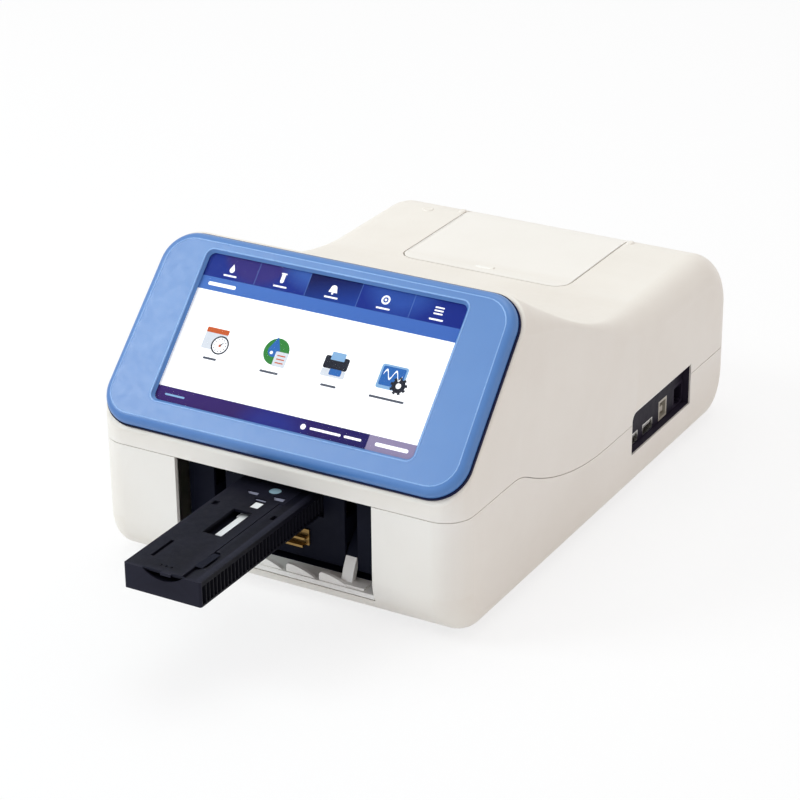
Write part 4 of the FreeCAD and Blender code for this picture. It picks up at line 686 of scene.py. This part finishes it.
def lid_edge_path():
    """Along the lid's left side, round its front corners and back along the right side."""
    half, front = LID_HALF - LID_INSET, LID_FRONT + LID_INSET
    left = disc(-half + LID_CORNER, front + LID_CORNER, LID_CORNER, 8, 180.0, 270.0)
    right = disc(half - LID_CORNER, front + LID_CORNER, LID_CORNER, 8, 270.0, 360.0)
    outline = [(-half, LID_TAIL), *left, *right, (half, LID_TAIL)]
    return [Vector((x, y, DECK_TOP - 0.1)) * MM for x, y in outline]


# a paler, glossier coat for beads and marks that paint highlights
highlight_coat = moulded("lid_edge_highlight", srgb(246, 244, 240), srgb(242, 240, 235), 0.32)
# a pale bead along the lid's edge: a painted highlight
bead("lid_edge_highlight", lid_edge_path(), closed=False, radius=0.45, material=highlight_coat, body="lid",
     slot="housing_plastic")

PORT_LOW, PORT_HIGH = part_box("port_panel")
PORT_RIM, PORT_ROUND, SIDE_X = 2.0, 5.0, cad_box[1][0] / MM
PORT_FRONT, PORT_BACK = PORT_LOW[1] / MM + PORT_RIM, PORT_HIGH[1] / MM - PORT_RIM
PORT_FLOOR, PORT_ROOF = PORT_LOW[2] / MM + PORT_RIM, PORT_HIGH[2] / MM - PORT_RIM


def port_outline(inset):
    """The mouth of the port recess, with its one round corner at the upper front."""
    front, back = PORT_FRONT + inset, PORT_BACK - inset
    floor, roof, corner = PORT_FLOOR + inset, PORT_ROOF - inset, PORT_ROUND - inset
    return [(front, floor), (back, floor), (back, roof),
            *disc(front + corner, roof - corner, corner, 8, 90.0, 180.0)]


LINING_FROM, LINING_TO = PORT_LOW[0] / MM + 1.6, SIDE_X - 0.9
lining = Sheet(lambda u, v, rise: Vector((rise, u, v)) * MM)
lining.ring(port_outline(0.02), port_outline(0.2), LINING_FROM, LINING_TO)
piece("port_lining", lining.mesh("port_lining"), "housing", "dark_plastic", MATERIALS["sockets"])
# a pale bead round the port recess's mouth: a painted highlight
bead("port_edge_highlight", [Vector((SIDE_X - 0.05, u, v)) * MM for u, v in port_outline(-0.1)],
     closed=True, radius=0.22, material=highlight_coat, body="housing", slot="housing_plastic")

# low bosses on the deck and the lid: places, width, depth, profile, material, body
DOMES = {
    "top_boss": ([(-75.6, 179.6, DECK_TOP)], 7.4, 7.0,
                 [(1.0, -0.3), (0.97, 0.2), (0.85, 0.45), (0.7, 0.4), (0.45, 0.15)],
                 MATERIALS["casing"], "housing"),
    "hinge_caps": ([(side * 55.8, 187.0, DECK_TOP - 0.6) for side in (-1, 1)], 4.4, 7.0,
                   [(1.0, -0.8), (0.97, 0.4), (0.84, 0.85), (0.5, 1.1)],
                   MATERIALS["casing"], "housing"),
    # the finger mark is a real low boss; its paler coat paints a highlight on it
    "finger_mark": ([(-1.6, 111.6, DECK_TOP)], 11.0, 3.4,
                    [(1.0, -0.3), (0.96, 0.25), (0.8, 0.5), (0.5, 0.6)], highlight_coat, "lid"),
}
for name, shape in DOMES.items():
    dome(name, *shape, "housing_plastic")

# flat dark sheets on the tray's top that stand for its slots: painted shade
TRAY_TOP = 64.9
slots = Sheet(lambda u, v, rise: Vector((u, v, TRAY_TOP + rise)) * MM)
for outline in ([(9.8, -204.7), (14.6, -205.0), (15.0, -189.4), (11.2, -189.4)],
                plate(-6.4, -217.0, 10.4, 1.3, 0.2), plate(8.9, -217.0, 7.4, 1.3, 0.2)):
    slots.add(outline, -0.05, 0.05)
piece("tray_slot_shade", slots.mesh("tray_slot_shade"), "tray", "dark_plastic", MATERIALS["bay"])

# a dark strip across the door's inner face, where it passes under the bay: painted shade
DOOR_FACE = 19.1
shade_strip = Sheet(lambda u, v, rise: Vector((u, v, rise)) * MM)
shade_strip.add(plate(0, -90.5, 113.0, 28.0, 1.5), DOOR_FACE - 0.05, DOOR_FACE + 0.2)
piece("door_shade_strip", shade_strip.mesh("door_shade_strip"), "door", "foot_rubber", MATERIALS["bay"])

# ---- camera, lights and stage -----------------------------------------------------------

CAMERA_AT = Vector((0.6441, -1.1064, 0.6553))
LOOKS_AT = Vector((0.0, 0.0122, 0.063))
ROLL = math.radians(-0.57)
LENS_MM, FILM_MM = 116.57, 36.0
NEAREST, FARTHEST = 0.05, 20

forward = (LOOKS_AT - CAMERA_AT).normalized()
level = forward.cross(Vector((0, 0, 1))).normalized()
upright = level.cross(forward)
right = level * math.cos(ROLL) + upright * math.sin(ROLL)
up = upright * math.cos(ROLL) - level * math.sin(ROLL)
camera = bpy.data.objects.new("camera", bpy.data.cameras.new("camera"))
camera.data.lens, camera.data.sensor_width = LENS_MM, FILM_MM
camera.data.clip_start, camera.data.clip_end = NEAREST, FARTHEST
turn = Matrix((right, up, -forward)).transposed().to_4x4()
camera.matrix_world = Matrix.Translation(CAMERA_AT) @ turn
bpy.context.collection.objects.link(camera)
bpy.context.scene.camera = camera


def lamp(name, spot, aim, width, power, colour):
    """A soft square lamp at a spot, in metres and watts, turned to its aim."""
    data = bpy.data.lights.new(name, "AREA")
    data.size, data.energy, data.color = width, power, colour
    thing = bpy.data.objects.new(name, data)
    turn = (Vector(aim) - Vector(spot)).to_track_quat("-Z", "Y")
    thing.matrix_world = Matrix.Translation(spot) @ turn.to_matrix().to_4x4()
    bpy.context.collection.objects.link(thing)


lamp("key", (-1.75, -1.3, 1.9), aim=(0, 0, 0.08), width=1.1, power=30, colour=(0.9, 0.99, 1.0))
lamp("front", (-0.5, -2.7, 0.7), aim=(0, -0.1, 0.06), width=1.6, power=9.5,
     colour=(0.6, 0.8, 1.0))
lamp("top", (-0.2, 0.4, 2.2), aim=(0, 0.05, 0), width=1.6, power=15.2, colour=(0.92, 1.0, 0.98))
lamp("side", (2.2, 0.2, 0.8), aim=(0, 0.05, 0.05), width=1.2, power=2.5, colour=(1.0, 0.82, 0.7))

# the world lights the machine softly, and shows white where it is seen or mirrored
WORLD_TINT, WORLD_LIGHT, WHITE = (1.0, 0.94, 0.95, 1), 0.58, (1, 1, 1, 1)
world = bpy.data.worlds.new("studio")
world.use_nodes = True
bpy.context.scene.world = world
tree = world.node_tree
tree.nodes.clear()
path = tree.nodes.new("ShaderNodeLightPath")
seen, mirrored = tree.nodes.new("ShaderNodeMath"), tree.nodes.new("ShaderNodeMath")
seen.operation = mirrored.operation = "MAXIMUM"
plain, bright = tree.nodes.new("ShaderNodeBackground"), tree.nodes.new("ShaderNodeBackground")
for background, colour, strength in ((plain, WORLD_TINT, WORLD_LIGHT), (bright, WHITE, 1.0)):
    background.inputs["Color"].default_value = colour
    background.inputs["Strength"].default_value = strength
blend = tree.nodes.new("ShaderNodeMixShader")
output = tree.nodes.new("ShaderNodeOutputWorld")
for source, target in ((path.outputs["Is Camera Ray"], seen.inputs[0]),
                       (path.outputs["Is Transmission Ray"], seen.inputs[1]),
                       (path.outputs["Is Glossy Ray"], mirrored.inputs[0]),
                       (seen.outputs[0], mirrored.inputs[1]),
                       (mirrored.outputs[0], blend.inputs[0]),
                       (plain.outputs[0], blend.inputs[1]),
                       (bright.outputs[0], blend.inputs[2]),
                       (blend.outputs[0], output.inputs[0])):
    tree.links.new(source, target)

# the floor is pale and catches the shadow; most of what is seen of it is plain white
FLOOR_REACH, FLOOR_WHITE = 6.0, 0.76
floor_mesh = bpy.data.meshes.new("floor")
corners = [(side * FLOOR_REACH, end * FLOOR_REACH, 0)
           for side, end in ((-1, -1), (1, -1), (1, 1), (-1, 1))]
floor_mesh.from_pydata(corners, [], [(0, 1, 2, 3)])
floor = bpy.data.objects.new("floor", floor_mesh)
bpy.context.collection.objects.link(floor)
floor_shader = Shader("floor", roughness=0.9, specular_ior_level=0.1)
floor_mesh.materials.append(floor_shader.use(Base_Color=floor_shader.mix(
    floor_shader.noise(3.0), (0.93, 0.93, 0.93, 1), (0.95, 0.95, 0.95, 1))))
seen_white = floor_shader.node("ShaderNodeEmission", WHITE, 1.0)
direct, in_gloss, through = [floor_shader.node("ShaderNodeLightPath", out=f"Is {kind} Ray")
                             for kind in ("Camera", "Glossy", "Transmission")]
seen_share = direct.high(in_gloss).high(through) * FLOOR_WHITE
lit_floor = Wire(floor_shader, floor_shader.surface.outputs[0])
floor_mix = floor_shader.node("ShaderNodeMixShader", seen_share, lit_floor, seen_white)
floor_shader.feed(floor_shader.tree.nodes["Material Output"].inputs[0], floor_mix)

scene = bpy.context.scene
scene.view_settings.view_transform = "Standard"
scene.view_settings.look = "None"
